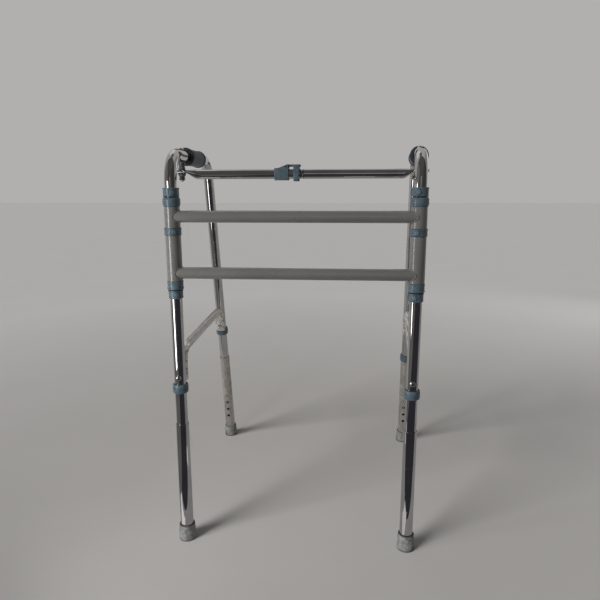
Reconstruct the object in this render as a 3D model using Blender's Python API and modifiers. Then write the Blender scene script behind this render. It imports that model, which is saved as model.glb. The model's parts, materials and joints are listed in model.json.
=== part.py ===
"""Folding walker with two hinged side frames, a locking top brace and four adjustable legs.

The frame stands on the ground plane Z = 0. X runs across the walker from the left side to the
right side, Y runs from the crossbars towards the user and Z is up. The origin lies on the ground
below the middle of the walker's bounding box. Each side frame hangs on its front leg, which is
its hinge axis.
"""

import math

import bmesh
import bpy
from mathutils import Matrix, Vector

# Driving dimensions, in metres and degrees
LEG_SPACING = 0.495
LEG_REACH = 0.535
REAR_LEAN = math.radians(13.8)
HANDLE_HEIGHT = 0.854
OPEN_ANGLE = {"left": math.radians(1.0), "right": math.radians(5.2)}
# From the model's origin to the ground point midway between the front legs
FRONT_CENTRE = (-0.019537, -0.267746, 0.0)

LEG_RADIUS = 0.0127
LEG_WALL = 0.0012
BEND_RADIUS = {"front": 0.055, "rear": 0.060}
GAP = 0.0003

# Heights along each leg, measured from its sole
LEG_END = 0.116
EXTENSION_RADIUS = 0.0143
EXTENSION_BORE = 0.0132
EXTENSION_TOP = {"front": 0.281, "rear": 0.296}
EXTENSION_FOOT = 0.0105
BUTTON_HEIGHT = 0.1335
HOLE_PITCH = 0.0254
HOLES_ABOVE = 1
HOLES_BELOW = 2
FOOT_HEIGHT = 0.037
RING_HEIGHT = 0.019
RING_BOTTOM = {"front": 0.3535, "rear": 0.3755}

# Crossbars and the sleeves that are welded to them
CROSSBAR_RADIUS = 0.012
CROSSBAR_BORE = 0.0108
CROSSBAR_FORWARD = 0.0035
UPPER_BAR_HEIGHT = 0.730
LOWER_BAR_HEIGHT = 0.615
SLEEVE_RADIUS = 0.0159
SLEEVE_BORE = 0.0146
UPPER_SLEEVE = (0.7073, 0.7500)
LOWER_SLEEVE = (0.5983, 0.6917)
BUSH_HEIGHT = 0.0185
BUSH_SPIGOT = 0.014
SPIGOT_RADIUS = 0.0142
RUNNING_BORE = 0.0132
COLLARS = {
    "top": (0.7690, 0.7870, 0.0167),
    "middle": (0.6920, 0.7070, 0.0178),
    "bottom": (0.5610, 0.5792, 0.0155),
}

# Rail that ties the two legs of a side together
RAIL_RADIUS = 0.011
RAIL_WALL = 0.0012
RAIL_HEIGHT = 0.443
RAIL_OFFSET = LEG_RADIUS + RAIL_RADIUS + 2 * GAP
RAIL_BEND = {"front": 0.032, "rear": 0.026}
RAIL_END = {"front": 0.3733, "rear": 0.3953}
RAIL_BOLT = {"front": 0.3885, "rear": 0.412}
FLATTENED = (0.461, 0.4425)
FLATTENED_WIDTH = 1.27
FLATTENED_DEPTH = 0.50

# Hand grip
GRIP_START = 0.120
GRIP_LENGTH = 0.112
GRIP_RADIUS = 0.0180
GRIP_FLANGE = 0.0200

# Top brace and its pivots
PIVOT_REACH = 0.0874
TOP_BAR_HEIGHT = 0.8153
TOP_BAR_RADIUS = 0.010
TOP_BAR_BORE = 0.0088
FLAT_TOP = 0.0090
FLAT_THICKNESS = 0.0060
FLAT_WIDTH = 0.0270
FLAT_TIP = 0.020
FLAT_END = 0.008
ROUND_START = 0.034
SEAM_X = 0.0105
SEAM_GAP = 0.0010
NOSE_LENGTH = 0.0041
BOLT_RADIUS = 0.0029
BOLT_HOLE = 0.0033

# Centre lock, measured from the seam line X = 0 and the top bar's axis
LOCK_LEFT = -0.0475
LOCK_RIGHT = -0.0172
LOCK_BOTTOM = -0.0130
LOCK_WIDTH = 0.027
LOCK_TOP = 0.0200
SLOT_WIDTH = 0.0126
PIN_X = -0.0235
PIN_Z = 0.0155
PIN_RADIUS = 0.0018
FORK_WIDTH = 0.026

TUBE_STEPS = 6
ROUND = 20
LEFT, RIGHT = "left", "right"
SIGN = {LEFT: -1, RIGHT: 1}


def clear_scene():
    """Remove every object that the file opened with."""
    for obj in list(bpy.data.objects):
        bpy.data.objects.remove(obj, do_unlink=True)


def new_collection(name):
    collection = bpy.data.collections.new(name)
    bpy.context.scene.collection.children.link(collection)
    return collection


def make_material(name, colour, metallic, roughness):
    material = bpy.data.materials.new(name)
    material.use_nodes = True
    shader = material.node_tree.nodes["Principled BSDF"]
    shader.inputs["Base Color"].default_value = (*colour, 1.0)
    shader.inputs["Metallic"].default_value = metallic
    shader.inputs["Roughness"].default_value = roughness
    material.diffuse_color = (*colour, 1.0)
    return material


clear_scene()
PARTS = new_collection("folding_walker")
CUTTERS = new_collection("cutters")


ORIGIN = bpy.data.objects.new("front_centre", None)
ORIGIN.location = FRONT_CENTRE
CUTTERS.objects.link(ORIGIN)


def finish_object(name, mesh, material, parent=None, collection=PARTS):
    """Link a mesh as a named object, shaded smooth with its sharp edges kept."""
    mesh.name = name
    obj = bpy.data.objects.new(name, mesh)
    collection.objects.link(obj)
    if material:
        mesh.materials.append(material)
    mesh.shade_smooth()
    mesh.set_sharp_from_angle(angle=math.radians(35))
    obj.parent = parent or ORIGIN
    return obj


def make_empty(name, location, rotation=(0, 0, 0), parent=None):
    empty = bpy.data.objects.new(name, None)
    CUTTERS.objects.link(empty)
    empty.location = location
    empty.rotation_euler = rotation
    empty.parent = parent or ORIGIN
    empty.empty_display_size = 0.02
    return empty


CHROME = make_material("chrome_steel", (0.62, 0.60, 0.58), 1.0, 0.12)
SATIN = make_material("satin_rail_steel", (0.50, 0.49, 0.47), 1.0, 0.35)
PAINT = make_material("grey_paint", (0.17, 0.165, 0.155), 0.0, 0.38)
PLASTIC = make_material("slate_plastic", (0.10, 0.15, 0.18), 0.0, 0.50)
GRIP_VINYL = make_material("dark_grip_vinyl", (0.06, 0.065, 0.075), 0.0, 0.60)
RUBBER = make_material("pale_foot_rubber", (0.30, 0.32, 0.30), 0.0, 0.80)
ZINC = make_material("zinc_fastener", (0.42, 0.42, 0.41), 1.0, 0.35)
SPRING = make_material("spring_steel", (0.35, 0.35, 0.36), 1.0, 0.30)


def as_cutter(obj):
    """Keep a cutting shape out of the model and the render."""
    for collection in list(obj.users_collection):
        collection.objects.unlink(obj)
    CUTTERS.objects.link(obj)
    obj.hide_render = True
    obj.display_type = "WIRE"
    return obj


def boolean(target, tool, operation="DIFFERENCE"):
    modifier = target.modifiers.new(operation.lower(), "BOOLEAN")
    modifier.object = tool
    modifier.operation = operation
    modifier.solver = "EXACT"
    return modifier


def cylinder(name, radius, start, end, parent=None, material=None, segments=ROUND, end_radius=None):
    """A round bar between two points of its parent's frame."""
    start, end = Vector(start), Vector(end)
    along = end - start
    bm = bmesh.new()
    bmesh.ops.create_cone(
        bm,
        cap_ends=True,
        segments=segments,
        radius1=radius,
        radius2=radius if end_radius is None else end_radius,
        depth=along.length,
    )
    turn = Vector((0, 0, 1)).rotation_difference(along).to_matrix().to_4x4()
    bm.transform(Matrix.Translation((start + end) / 2) @ turn)
    mesh = bpy.data.meshes.new(name)
    bm.to_mesh(mesh)
    bm.free()
    return finish_object(name, mesh, material, parent)


def cut_round(target, name, radius, start, end, parent=None, segments=12):
    """Drill a round hole between two points of the parent's frame."""
    tool = as_cutter(cylinder(name, radius, start, end, parent, None, segments))
    return boolean(target, tool)


def cut_box(target, name, low, high, parent=None):
    bm = bmesh.new()
    bmesh.ops.create_cube(bm, size=1.0)
    low, high = Vector(low), Vector(high)
    bm.transform(Matrix.Translation((low + high) / 2) @ Matrix.Diagonal((*(high - low), 1.0)))
    mesh = bpy.data.meshes.new(name)
    bm.to_mesh(mesh)
    bm.free()
    tool = as_cutter(finish_object(name, mesh, None, parent))
    return boolean(target, tool)


def turned(
    name,
    profile,
    material,
    parent=None,
    location=(0, 0, 0),
    rotation=(0, 0, 0),
    hollow=False,
    steps=ROUND,
):
    """Turn a profile of (radius, height) points about Z. A hollow profile closes on itself."""
    mesh = bpy.data.meshes.new(name)
    count = len(profile)
    edges = [(i, i + 1) for i in range(count - 1)]
    if hollow:
        edges.append((count - 1, 0))
    mesh.from_pydata([(radius, 0, height) for radius, height in profile], edges, [])
    obj = finish_object(name, mesh, material, parent)
    obj.location = location
    obj.rotation_euler = rotation
    screw = obj.modifiers.new("turn", "SCREW")
    screw.axis = "Z"
    screw.steps = screw.render_steps = steps
    screw.use_merge_vertices = True
    screw.merge_threshold = 0.00002
    screw.use_smooth_shade = True
    return obj


def ring_profile(inner, outer, low, high, round_off):
    """Outer side from top to bottom with rounded corners, then back up the bore."""
    return [
        (inner, high),
        (outer - round_off, high),
        (outer, high - round_off),
        (outer, low + round_off),
        (outer - round_off, low),
        (inner, low),
    ]


def rounded_path(corners, radii, steps=TUBE_STEPS):
    """Points along straight runs that are joined by arcs at the inner corners."""
    points = [Vector(corners[0])]
    for before, corner, after, radius in zip(corners, corners[1:], corners[2:], radii):
        corner = Vector(corner)
        away = (Vector(before) - corner).normalized()
        onward = (Vector(after) - corner).normalized()
        half = away.angle(onward) / 2
        centre = corner + (away + onward).normalized() * radius / math.sin(half)
        first = corner + away * radius / math.tan(half) - centre
        turn = math.pi - 2 * half
        axis = onward.cross(away).normalized()
        for step in range(steps + 1):
            points.append(centre + Matrix.Rotation(turn * step / steps, 3, axis) @ first)
    points.append(Vector(corners[-1]))
    return points


def tube(name, points, radius, wall, material, parent=None, bevel_resolution=8):
    """A hollow tube that follows the points and is open at both ends."""
    curve = bpy.data.curves.new(name, "CURVE")
    curve.dimensions = "3D"
    curve.bevel_depth = radius
    curve.bevel_resolution = bevel_resolution
    curve.use_fill_caps = False
    spline = curve.splines.new("POLY")
    spline.points.add(len(points) - 1)
    for spot, point in zip(spline.points, points):
        spot.co = (*point, 1.0)
    guide = bpy.data.objects.new(name + "_path", curve)
    CUTTERS.objects.link(guide)
    graph = bpy.context.evaluated_depsgraph_get()
    mesh = bpy.data.meshes.new_from_object(guide.evaluated_get(graph))
    place = guide.matrix_world.copy()
    bpy.data.objects.remove(guide, do_unlink=True)
    bm = bmesh.new()
    bm.from_mesh(mesh)
    bmesh.ops.remove_doubles(bm, verts=bm.verts, dist=0.00001)
    bmesh.ops.recalc_face_normals(bm, faces=bm.faces)
    bm.to_mesh(mesh)
    bm.free()
    mesh.materials.clear()
    obj = finish_object(name, mesh, material, parent)
    obj.matrix_basis = place
    shell = obj.modifiers.new("wall", "SOLIDIFY")
    shell.thickness = wall
    shell.offset = -1
    shell.use_even_offset = True
    return obj


def plate(name, outline, low_y, high_y, material, parent=None, bevel=0.0):
    """An outline of (x, z) points, drawn out along Y."""
    bm = bmesh.new()
    face = bm.faces.new([bm.verts.new((x, low_y, z)) for x, z in outline])
    drawn = bmesh.ops.extrude_face_region(bm, geom=[face])
    moved = [item for item in drawn["geom"] if isinstance(item, bmesh.types.BMVert)]
    bmesh.ops.translate(bm, vec=(0, high_y - low_y, 0), verts=moved)
    bmesh.ops.recalc_face_normals(bm, faces=bm.faces)
    mesh = bpy.data.meshes.new(name)
    bm.to_mesh(mesh)
    bm.free()
    obj = finish_object(name, mesh, material, parent)
    if bevel:
        edge = obj.modifiers.new("edge", "BEVEL")
        edge.width = bevel
        edge.segments = 2
        edge.limit_method = "ANGLE"
    return obj


def loft(name, sections, material, parent=None):
    """Join closed sections of equal point count into one capped body."""
    bm = bmesh.new()
    rings = [[bm.verts.new(point) for point in section] for section in sections]
    for first, second in zip(rings, rings[1:]):
        for i in range(len(first)):
            j = (i + 1) % len(first)
            bm.faces.new((first[i], first[j], second[j], second[i]))
    bm.faces.new(rings[0])
    bm.faces.new(rings[-1])
    bmesh.ops.recalc_face_normals(bm, faces=bm.faces)
    mesh = bpy.data.meshes.new(name)
    bm.to_mesh(mesh)
    bm.free()
    return finish_object(name, mesh, material, parent)


def leg_line(height):
    """Reach of the rear leg's axis at a height above the ground."""
    return LEG_REACH - height * math.tan(REAR_LEAN)


def build_crossbar(name, height, sleeve, hinges):
    """A painted bar whose ends are welded to a hinge sleeve on each front leg."""
    low, high = sleeve
    left, right = hinges[LEFT], hinges[RIGHT]
    ends = [(SIGN[side] * LEG_SPACING / 2, 0) for side in (LEFT, RIGHT)]
    bar = cylinder(
        name,
        CROSSBAR_RADIUS,
        (ends[0][0], -CROSSBAR_FORWARD, height),
        (ends[1][0], -CROSSBAR_FORWARD, height),
        None,
        PAINT,
    )
    for side, (x, y) in zip((LEFT, RIGHT), ends):
        sleeve_tool = cylinder(f"{name}_{side}_sleeve", SLEEVE_RADIUS, (x, y, low), (x, y, high))
        boolean(bar, as_cutter(sleeve_tool), "UNION")
    cut_round(
        bar,
        name + "_hollow",
        CROSSBAR_BORE,
        (left.location.x, -CROSSBAR_FORWARD, height),
        (right.location.x, -CROSSBAR_FORWARD, height),
    )
    for side, (x, y) in zip((LEFT, RIGHT), ends):
        start, end = (x, y, low - 0.01), (x, y, high + 0.01)
        cut_round(bar, f"{name}_{side}_bore", SLEEVE_BORE, start, end, None, ROUND)
    return bar


def build_bush(side, end, location):
    """A plastic hinge bush: a flange on the sleeve's end with a thin spigot inside it."""
    flange = 0.0178 if end == "upper" else 0.0172
    if end == "upper":
        seat = UPPER_SLEEVE[1] + GAP
        profile = [
            (RUNNING_BORE, seat + BUSH_HEIGHT),
            (flange - 0.0012, seat + BUSH_HEIGHT),
            (flange, seat + BUSH_HEIGHT - 0.0012),
            (flange, seat),
            (SPIGOT_RADIUS, seat),
            (SPIGOT_RADIUS, seat - BUSH_SPIGOT),
            (RUNNING_BORE, seat - BUSH_SPIGOT),
        ]
    else:
        seat = LOWER_SLEEVE[0] - GAP
        profile = [
            (RUNNING_BORE, seat + BUSH_SPIGOT),
            (SPIGOT_RADIUS, seat + BUSH_SPIGOT),
            (SPIGOT_RADIUS, seat),
            (flange, seat),
            (flange, seat - BUSH_HEIGHT + 0.0012),
            (flange - 0.0012, seat - BUSH_HEIGHT),
            (RUNNING_BORE, seat - BUSH_HEIGHT),
        ]
    return turned(f"{side}_{end}_bush", profile, PLASTIC, None, location, hollow=True)


def build_collar(side, place, parent):
    """A clamped collar with the screw that holds it to the leg."""
    low, high, outer = COLLARS[place]
    profile = ring_profile(RUNNING_BORE, outer, low, high, 0.0012)
    collar = turned(f"{side}_{place}_collar", profile, PLASTIC, parent, hollow=True)
    middle = (low + high) / 2
    screw_side = SIGN[side] * -0.30
    facing = Vector((screw_side, -1.0, 0.0)).normalized()
    cut_round(collar, f"{side}_{place}_screw_hole", 0.0021, facing * 0.010 + Vector((0, 0, middle)),
              facing * 0.025 + Vector((0, 0, middle)), parent, 8)
    profile = [
        (0.0, outer + 0.0020),
        (0.0020, outer + 0.0017),
        (0.0030, outer + 0.0003),
        (0.0016, outer + 0.0003),
        (0.0016, LEG_RADIUS + GAP),
        (0.0, LEG_RADIUS + GAP),
    ]
    screw = turned(f"{side}_{place}_collar_screw", profile, ZINC, parent, (0, 0, middle), steps=8)
    screw.rotation_euler = Vector((0, 0, 1)).rotation_difference(facing).to_euler()
    return collar


def build_side_tube(side, parent):
    """Front leg, handle and rear leg, bent from one tube."""
    top = Vector((0, leg_line(HANDLE_HEIGHT), HANDLE_HEIGHT))
    foot = Vector((0, LEG_REACH, 0))
    rear_end = foot + (top - foot).normalized() * LEG_END
    corners = [(0, 0, LEG_END), (0, 0, HANDLE_HEIGHT), top, rear_end]
    path = rounded_path(corners, BEND_RADIUS.values())
    body = tube(f"{side}_side_tube", path, LEG_RADIUS, LEG_WALL, CHROME, parent)
    cut_round(
        body,
        f"{side}_pivot_hole",
        BOLT_HOLE,
        (0, PIVOT_REACH, HANDLE_HEIGHT - 0.03),
        (0, PIVOT_REACH, HANDLE_HEIGHT + 0.03),
        parent,
    )
    return body


def drill_leg(body, side, leg, frame, inward):
    """Rail bolt hole through the leg, and the button hole in its inner wall."""
    height = RAIL_BOLT[leg]
    cut_round(body, f"{side}_{leg}_bolt_hole", BOLT_HOLE, (0, -0.03, height), (0, 0.03, height), frame)
    start, end = (0, 0, BUTTON_HEIGHT), (0, inward * 0.03, BUTTON_HEIGHT)
    cut_round(body, f"{side}_{leg}_button_hole", 0.0038, start, end, frame)


def flatten_rail(rail, frame):
    """Press the rail's rear end flat against its leg, wider and half as deep."""
    start, end = FLATTENED
    surface = -(LEG_RADIUS + 2 * GAP)
    to_leg = frame.matrix_basis.inverted() @ rail.matrix_basis
    for vertex in rail.data.vertices:
        spot = to_leg @ vertex.co
        part = min(max((start - spot.z) / (start - end), 0.0), 1.0)
        part = part * part * (3 - 2 * part)
        spot.x *= 1 + (FLATTENED_WIDTH - 1) * part
        spot.y = surface + (spot.y - surface) * (1 + (FLATTENED_DEPTH - 1) * part)
        vertex.co = to_leg.inverted() @ spot


def build_rail(side, parent, frames):
    """The rail between the legs, with both ends turned down beside them."""
    lean = Vector((0, -math.sin(REAR_LEAN), math.cos(REAR_LEAN)))
    inward = Vector((0, -math.cos(REAR_LEAN), -math.sin(REAR_LEAN)))
    rear_end = Vector((0, LEG_REACH, 0)) + inward * RAIL_OFFSET + lean * RAIL_END["rear"]
    rise = (RAIL_HEIGHT - rear_end.z) / lean.z
    corners = [
        (0, RAIL_OFFSET, RAIL_END["front"]),
        (0, RAIL_OFFSET, RAIL_HEIGHT),
        rear_end + lean * rise,
        rear_end,
    ]
    path = rounded_path(corners, (RAIL_BEND["front"], RAIL_BEND["rear"]), 5)
    rail = tube(f"{side}_side_rail", path, RAIL_RADIUS, RAIL_WALL, SATIN, parent, 6)
    flatten_rail(rail, frames["rear"])
    for leg, frame in frames.items():
        height = RAIL_BOLT[leg]
        cut_round(rail, f"{side}_{leg}_rail_hole", BOLT_HOLE, (0, -0.05, height), (0, 0.05, height), frame)
    return rail


def build_rail_bolt(side, leg, frame, inward):
    """A domed bolt through leg and rail: a cap nut ends it at the front, a low rivet end at the rear."""
    head = LEG_RADIUS + GAP
    if leg == "front":
        far = RAIL_OFFSET + RAIL_RADIUS + GAP
        end = [(0.0050, -far), (0.0050, -far - 0.0035), (0.0030, -far - 0.0050), (0.0, -far - 0.0055)]
    else:
        far = LEG_RADIUS + 2 * GAP + 2 * RAIL_RADIUS * FLATTENED_DEPTH + GAP
        end = [(0.0046, -far), (0.0038, -far - 0.0009), (0.0, -far - 0.0014)]
    profile = [
        (0.0, head + 0.0046),
        (0.0034, head + 0.0039),
        (0.0056, head + 0.0021),
        (0.0064, head),
        (BOLT_RADIUS, head),
        (BOLT_RADIUS, -far),
    ] + end
    turn = math.radians(90) * inward
    return turned(
        f"{side}_{leg}_rail_bolt", profile, ZINC, frame, (0, 0, RAIL_BOLT[leg]), (turn, 0, 0), steps=12
    )


def build_leg_ring(side, leg, frame, bottom):
    profile = ring_profile(RUNNING_BORE, 0.0172, bottom, bottom + RING_HEIGHT, 0.0016)
    return turned(f"{side}_{leg}_leg_ring", profile, PLASTIC, frame, hollow=True)


def build_extension(side, leg, frame, inward):
    """The height-adjusting outer tube, with a row of holes for the snap button."""
    profile = [
        (EXTENSION_BORE, EXTENSION_TOP[leg]),
        (EXTENSION_RADIUS, EXTENSION_TOP[leg]),
        (EXTENSION_RADIUS, EXTENSION_FOOT),
        (EXTENSION_BORE, EXTENSION_FOOT),
    ]
    body = turned(f"{side}_{leg}_extension", profile, CHROME, frame, hollow=True)
    for step in range(-HOLES_BELOW, HOLES_ABOVE + 1):
        height = BUTTON_HEIGHT + step * HOLE_PITCH
        cut_round(
            body,
            f"{side}_{leg}_height_hole_{step + HOLES_BELOW}",
            0.0038,
            (0, 0, height),
            (0, inward * 0.03, height),
            frame,
            12,
        )
    return body


def build_foot(side, leg, frame):
    """A flared rubber foot that is pushed over the end of the extension tube."""
    under = -0.008 if leg == "rear" else 0.0
    floor = EXTENSION_FOOT - GAP
    profile = [
        (0.0, floor),
        (0.01475, floor),
        (0.01475, FOOT_HEIGHT),
        (0.0165, FOOT_HEIGHT),
        (0.0174, FOOT_HEIGHT - 0.0010),
        (0.0182, FOOT_HEIGHT - 0.0100),
        (0.0191, 0.0150),
        (0.0196, 0.0060),
        (0.0196, under + 0.0015),
        (0.0189, under),
        (0.0, under),
    ]
    return turned(f"{side}_{leg}_foot", profile, RUBBER, frame)


def build_snap_clip(side, leg, frame, inward):
    """The sprung button that locks the extension, on its strip inside the leg."""
    strip = plate(
        f"{side}_{leg}_snap_clip",
        [(-0.0040, BUTTON_HEIGHT - 0.010), (0.0040, BUTTON_HEIGHT - 0.010),
         (0.0040, BUTTON_HEIGHT + 0.040), (-0.0040, BUTTON_HEIGHT + 0.040)],
        min(inward * 0.0084, inward * 0.0092),
        max(inward * 0.0084, inward * 0.0092),
        SPRING,
        frame,
    )
    button = cylinder(
        f"{side}_{leg}_button_solid",
        0.0034,
        (0, inward * 0.0088, BUTTON_HEIGHT),
        (0, inward * 0.0164, BUTTON_HEIGHT),
        frame,
        None,
        16,
        0.0027,
    )
    boolean(strip, as_cutter(button), "UNION")
    return strip


def build_grip(side, parent):
    """A moulded hand grip with a flange at each end, sleeved on the handle."""
    bore = 0.0132
    end = GRIP_LENGTH
    profile = [
        (bore, end),
        (GRIP_FLANGE - 0.001, end),
        (GRIP_FLANGE, end - 0.0015),
        (GRIP_FLANGE, end - 0.0050),
        (GRIP_RADIUS, end - 0.0075),
        (GRIP_RADIUS + 0.0004, end / 2),
        (GRIP_RADIUS, 0.0075),
        (GRIP_FLANGE, 0.0050),
        (GRIP_FLANGE, 0.0015),
        (GRIP_FLANGE - 0.001, 0.0),
        (bore, 0.0),
    ]
    return turned(
        f"{side}_grip",
        profile,
        GRIP_VINYL,
        parent,
        (0, GRIP_START, HANDLE_HEIGHT),
        (math.radians(-90), 0, 0),
        hollow=True,
    )


def build_pivot(side, parent):
    """Spacer, bolt, washer and nut that carry the end of the top bar."""
    spot = (0, PIVOT_REACH, 0)
    flat_top = TOP_BAR_HEIGHT + FLAT_TOP
    flat_low = flat_top - FLAT_THICKNESS
    under_tube = HANDLE_HEIGHT - LEG_RADIUS - GAP
    turned(
        f"{side}_bar_spacer",
        ring_profile(BOLT_HOLE, 0.0092, flat_top + GAP, under_tube, 0.0008),
        PLASTIC,
        parent,
        spot,
        hollow=True,
        steps=14,
    )
    head = HANDLE_HEIGHT + LEG_RADIUS + GAP
    washer_low = flat_low - GAP - 0.0065
    nut_low = washer_low - GAP - 0.0085
    turned(
        f"{side}_pivot_bolt",
        [
            (0.0, head + 0.0040),
            (0.0040, head + 0.0034),
            (0.0066, head + 0.0016),
            (0.0072, head),
            (BOLT_RADIUS, head),
            (BOLT_RADIUS, nut_low - 0.0020),
            (0.0, nut_low - 0.0025),
        ],
        ZINC,
        parent,
        spot,
        steps=12,
    )
    turned(
        f"{side}_pivot_washer",
        ring_profile(BOLT_HOLE, 0.0086, washer_low, flat_low - GAP, 0.0010),
        PLASTIC,
        parent,
        spot,
        hollow=True,
        steps=14,
    )
    turned(
        f"{side}_pivot_nut",
        ring_profile(BOLT_HOLE, 0.0064, nut_low, washer_low - GAP, 0.0008),
        ZINC,
        parent,
        spot,
        hollow=True,
        steps=6,
    )
    # A six-sided nut has a six-sided bore, so the bolt needs the bore cut round again
    cut_round(
        bpy.data.objects[f"{side}_pivot_nut"], f"{side}_nut_bore", BOLT_HOLE + 0.0001,
        (0, PIVOT_REACH, nut_low - 0.01), (0, PIVOT_REACH, washer_low + 0.01), parent
    )


def bar_section(reach, blend, points=16):
    """Cross-section of a top bar at a reach from its pivot: round at blend 0, pressed flat at 1."""
    half_width = TOP_BAR_RADIUS + (FLAT_WIDTH / 2 - TOP_BAR_RADIUS) * blend
    half_height = TOP_BAR_RADIUS + (FLAT_THICKNESS / 2 - TOP_BAR_RADIUS) * blend
    centre = (FLAT_TOP - FLAT_THICKNESS / 2) * blend
    power = 1.0 - 0.45 * blend
    section = []
    for i in range(points):
        angle = 2 * math.pi * i / points
        across = math.copysign(abs(math.cos(angle)) ** power, math.cos(angle))
        up = math.copysign(abs(math.sin(angle)) ** power, math.sin(angle))
        section.append((reach, half_width * across, centre + half_height * up))
    return section


def build_top_bar(side, pivot, length):
    """Half of the top brace: pressed flat and drilled at its pivot, plugged at the seam."""
    flat = bar_section(0.0, 1.0)
    narrow = []
    for turn in (0.0, 0.45, 0.8, 1.0):
        width = math.sqrt(max(1 - (1 - turn) ** 2, 0.12))
        narrow.append([(-FLAT_TIP + 0.012 * turn, y * width, z) for _, y, z in flat])
    steps = 5
    shoulder = []
    for i in range(steps + 1):
        part = i / steps
        blend = 0.5 + 0.5 * math.cos(math.pi * part)
        shoulder.append(bar_section(FLAT_END + (ROUND_START - FLAT_END) * part, blend))
    end = length - NOSE_LENGTH
    body = loft(f"{side}_top_bar", narrow + shoulder + [bar_section(end, 0.0)], CHROME, pivot)
    inner, outer = (ROUND_START + 0.006, 0, 0), (end + 0.01, 0, 0)
    cut_round(body, f"{side}_bar_hollow", TOP_BAR_BORE, inner, outer, pivot, 16)
    cut_round(body, f"{side}_bar_pivot_hole", BOLT_HOLE, (0, 0, -0.02), (0, 0, 0.03), pivot)
    spigot = TOP_BAR_BORE * math.cos(math.pi / 16) - GAP
    turned(
        f"{side}_bar_plug",
        [
            (0.0, length),
            (0.0099, length - NOSE_LENGTH + GAP),
            (spigot, length - NOSE_LENGTH + GAP),
            (spigot, length - NOSE_LENGTH - 0.012),
            (0.0, length - NOSE_LENGTH - 0.012),
        ],
        CHROME,
        pivot,
        (0, 0, 0),
        (0, math.radians(90), 0),
        steps=16,
    )
    return body


def build_lock(pivot):
    """Lock housing and its pin on the left bar, and the lever that straddles the bar."""
    offset = -pivot.location.x
    outline = [
        (LOCK_LEFT, LOCK_BOTTOM),
        (LOCK_RIGHT, LOCK_BOTTOM),
        (LOCK_RIGHT, LOCK_TOP),
        (LOCK_RIGHT - 0.0020, LOCK_TOP),
        (LOCK_LEFT + 0.0090, 0.0126),
        (LOCK_LEFT, 0.0120),
    ]
    half = LOCK_WIDTH / 2
    frame = make_empty("lock_frame", (offset, 0, 0), parent=pivot)
    body = plate("lock_body", outline, -half, half, PLASTIC, frame, 0.0012)
    bar_room = TOP_BAR_RADIUS + GAP + 0.0001
    cut_round(body, "lock_bore", bar_room, (LOCK_LEFT - 0.01, 0, 0), (0, 0, 0), frame, ROUND)
    cut_box(
        body,
        "lock_slot",
        (PIN_X - 0.0055, -SLOT_WIDTH / 2, 0.0119),
        (LOCK_RIGHT + 0.01, SLOT_WIDTH / 2, 0.03),
        frame,
    )
    start, end = (PIN_X, -0.02, PIN_Z), (PIN_X, 0.02, PIN_Z)
    cut_round(body, "lock_pin_hole", PIN_RADIUS + GAP, start, end, frame, 16)
    start, end = (PIN_X, -half + 0.001, PIN_Z), (PIN_X, half - 0.001, PIN_Z)
    cylinder("lock_pin", PIN_RADIUS, start, end, frame, ZINC, 16)

    lever_frame = make_empty("lever_axis", (PIN_X, 0, PIN_Z), parent=frame)
    root, top = 0.0032, 0.0042
    arm = [(root * math.cos(math.radians(t)), root * math.sin(math.radians(t))) for t in range(90, 300, 30)]
    arm += [(0.0050, -0.0005), (0.0312, -0.0005), (0.0312, top), (0.0050, top)]
    arm_half = SLOT_WIDTH / 2 - GAP
    lever = plate("lock_lever", arm, -arm_half, arm_half, PLASTIC, lever_frame, 0.0005)
    fork = [
        (0.0165, LOCK_BOTTOM - 0.0020 - PIN_Z),
        (0.0278, LOCK_BOTTOM - 0.0020 - PIN_Z),
        (0.0293, top - 0.0004),
        (0.0165, top - 0.0004),
    ]
    half_fork = FORK_WIDTH / 2
    cheeks = as_cutter(plate("lever_fork", fork, -half_fork, half_fork, None, lever_frame, 0.0008))
    boolean(lever, cheeks, "UNION")
    cut_box(lever, "fork_mouth", (0.0, -0.0106, -0.05), (0.05, 0.0106, 0.0106 - PIN_Z), lever_frame)
    cut_round(lever, "lever_pin_hole", PIN_RADIUS + GAP, (0, -0.02, 0), (0, 0.02, 0), lever_frame, 16)


def build_side(side, hinge):
    """Everything that swings on one front leg, and its two adjustable legs."""
    rear = make_empty(f"{side}_rear_leg_frame", (0, LEG_REACH, 0), (REAR_LEAN, 0, 0), hinge)
    front = make_empty(f"{side}_front_leg_frame", (0, 0, 0), parent=hinge)
    frames = {"front": front, "rear": rear}
    body = build_side_tube(side, hinge)
    build_rail(side, hinge, frames)
    build_grip(side, hinge)
    build_pivot(side, hinge)
    for place in COLLARS:
        build_collar(side, place, hinge)
    for leg, frame in frames.items():
        inward = 1 if leg == "front" else -1
        drill_leg(body, side, leg, frame, inward)
        build_rail_bolt(side, leg, frame, inward)
        loose = side == RIGHT and leg == "rear"
        build_leg_ring(side, leg, frame, EXTENSION_TOP[leg] + GAP if loose else RING_BOTTOM[leg])
        build_extension(side, leg, frame, inward)
        foot = build_foot(side, leg, frame)
        if leg == "rear":
            cut_box(foot, f"{side}_ground", (-1, -1, -0.1), (1, 1, 0))
        build_snap_clip(side, leg, frame, inward)


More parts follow.
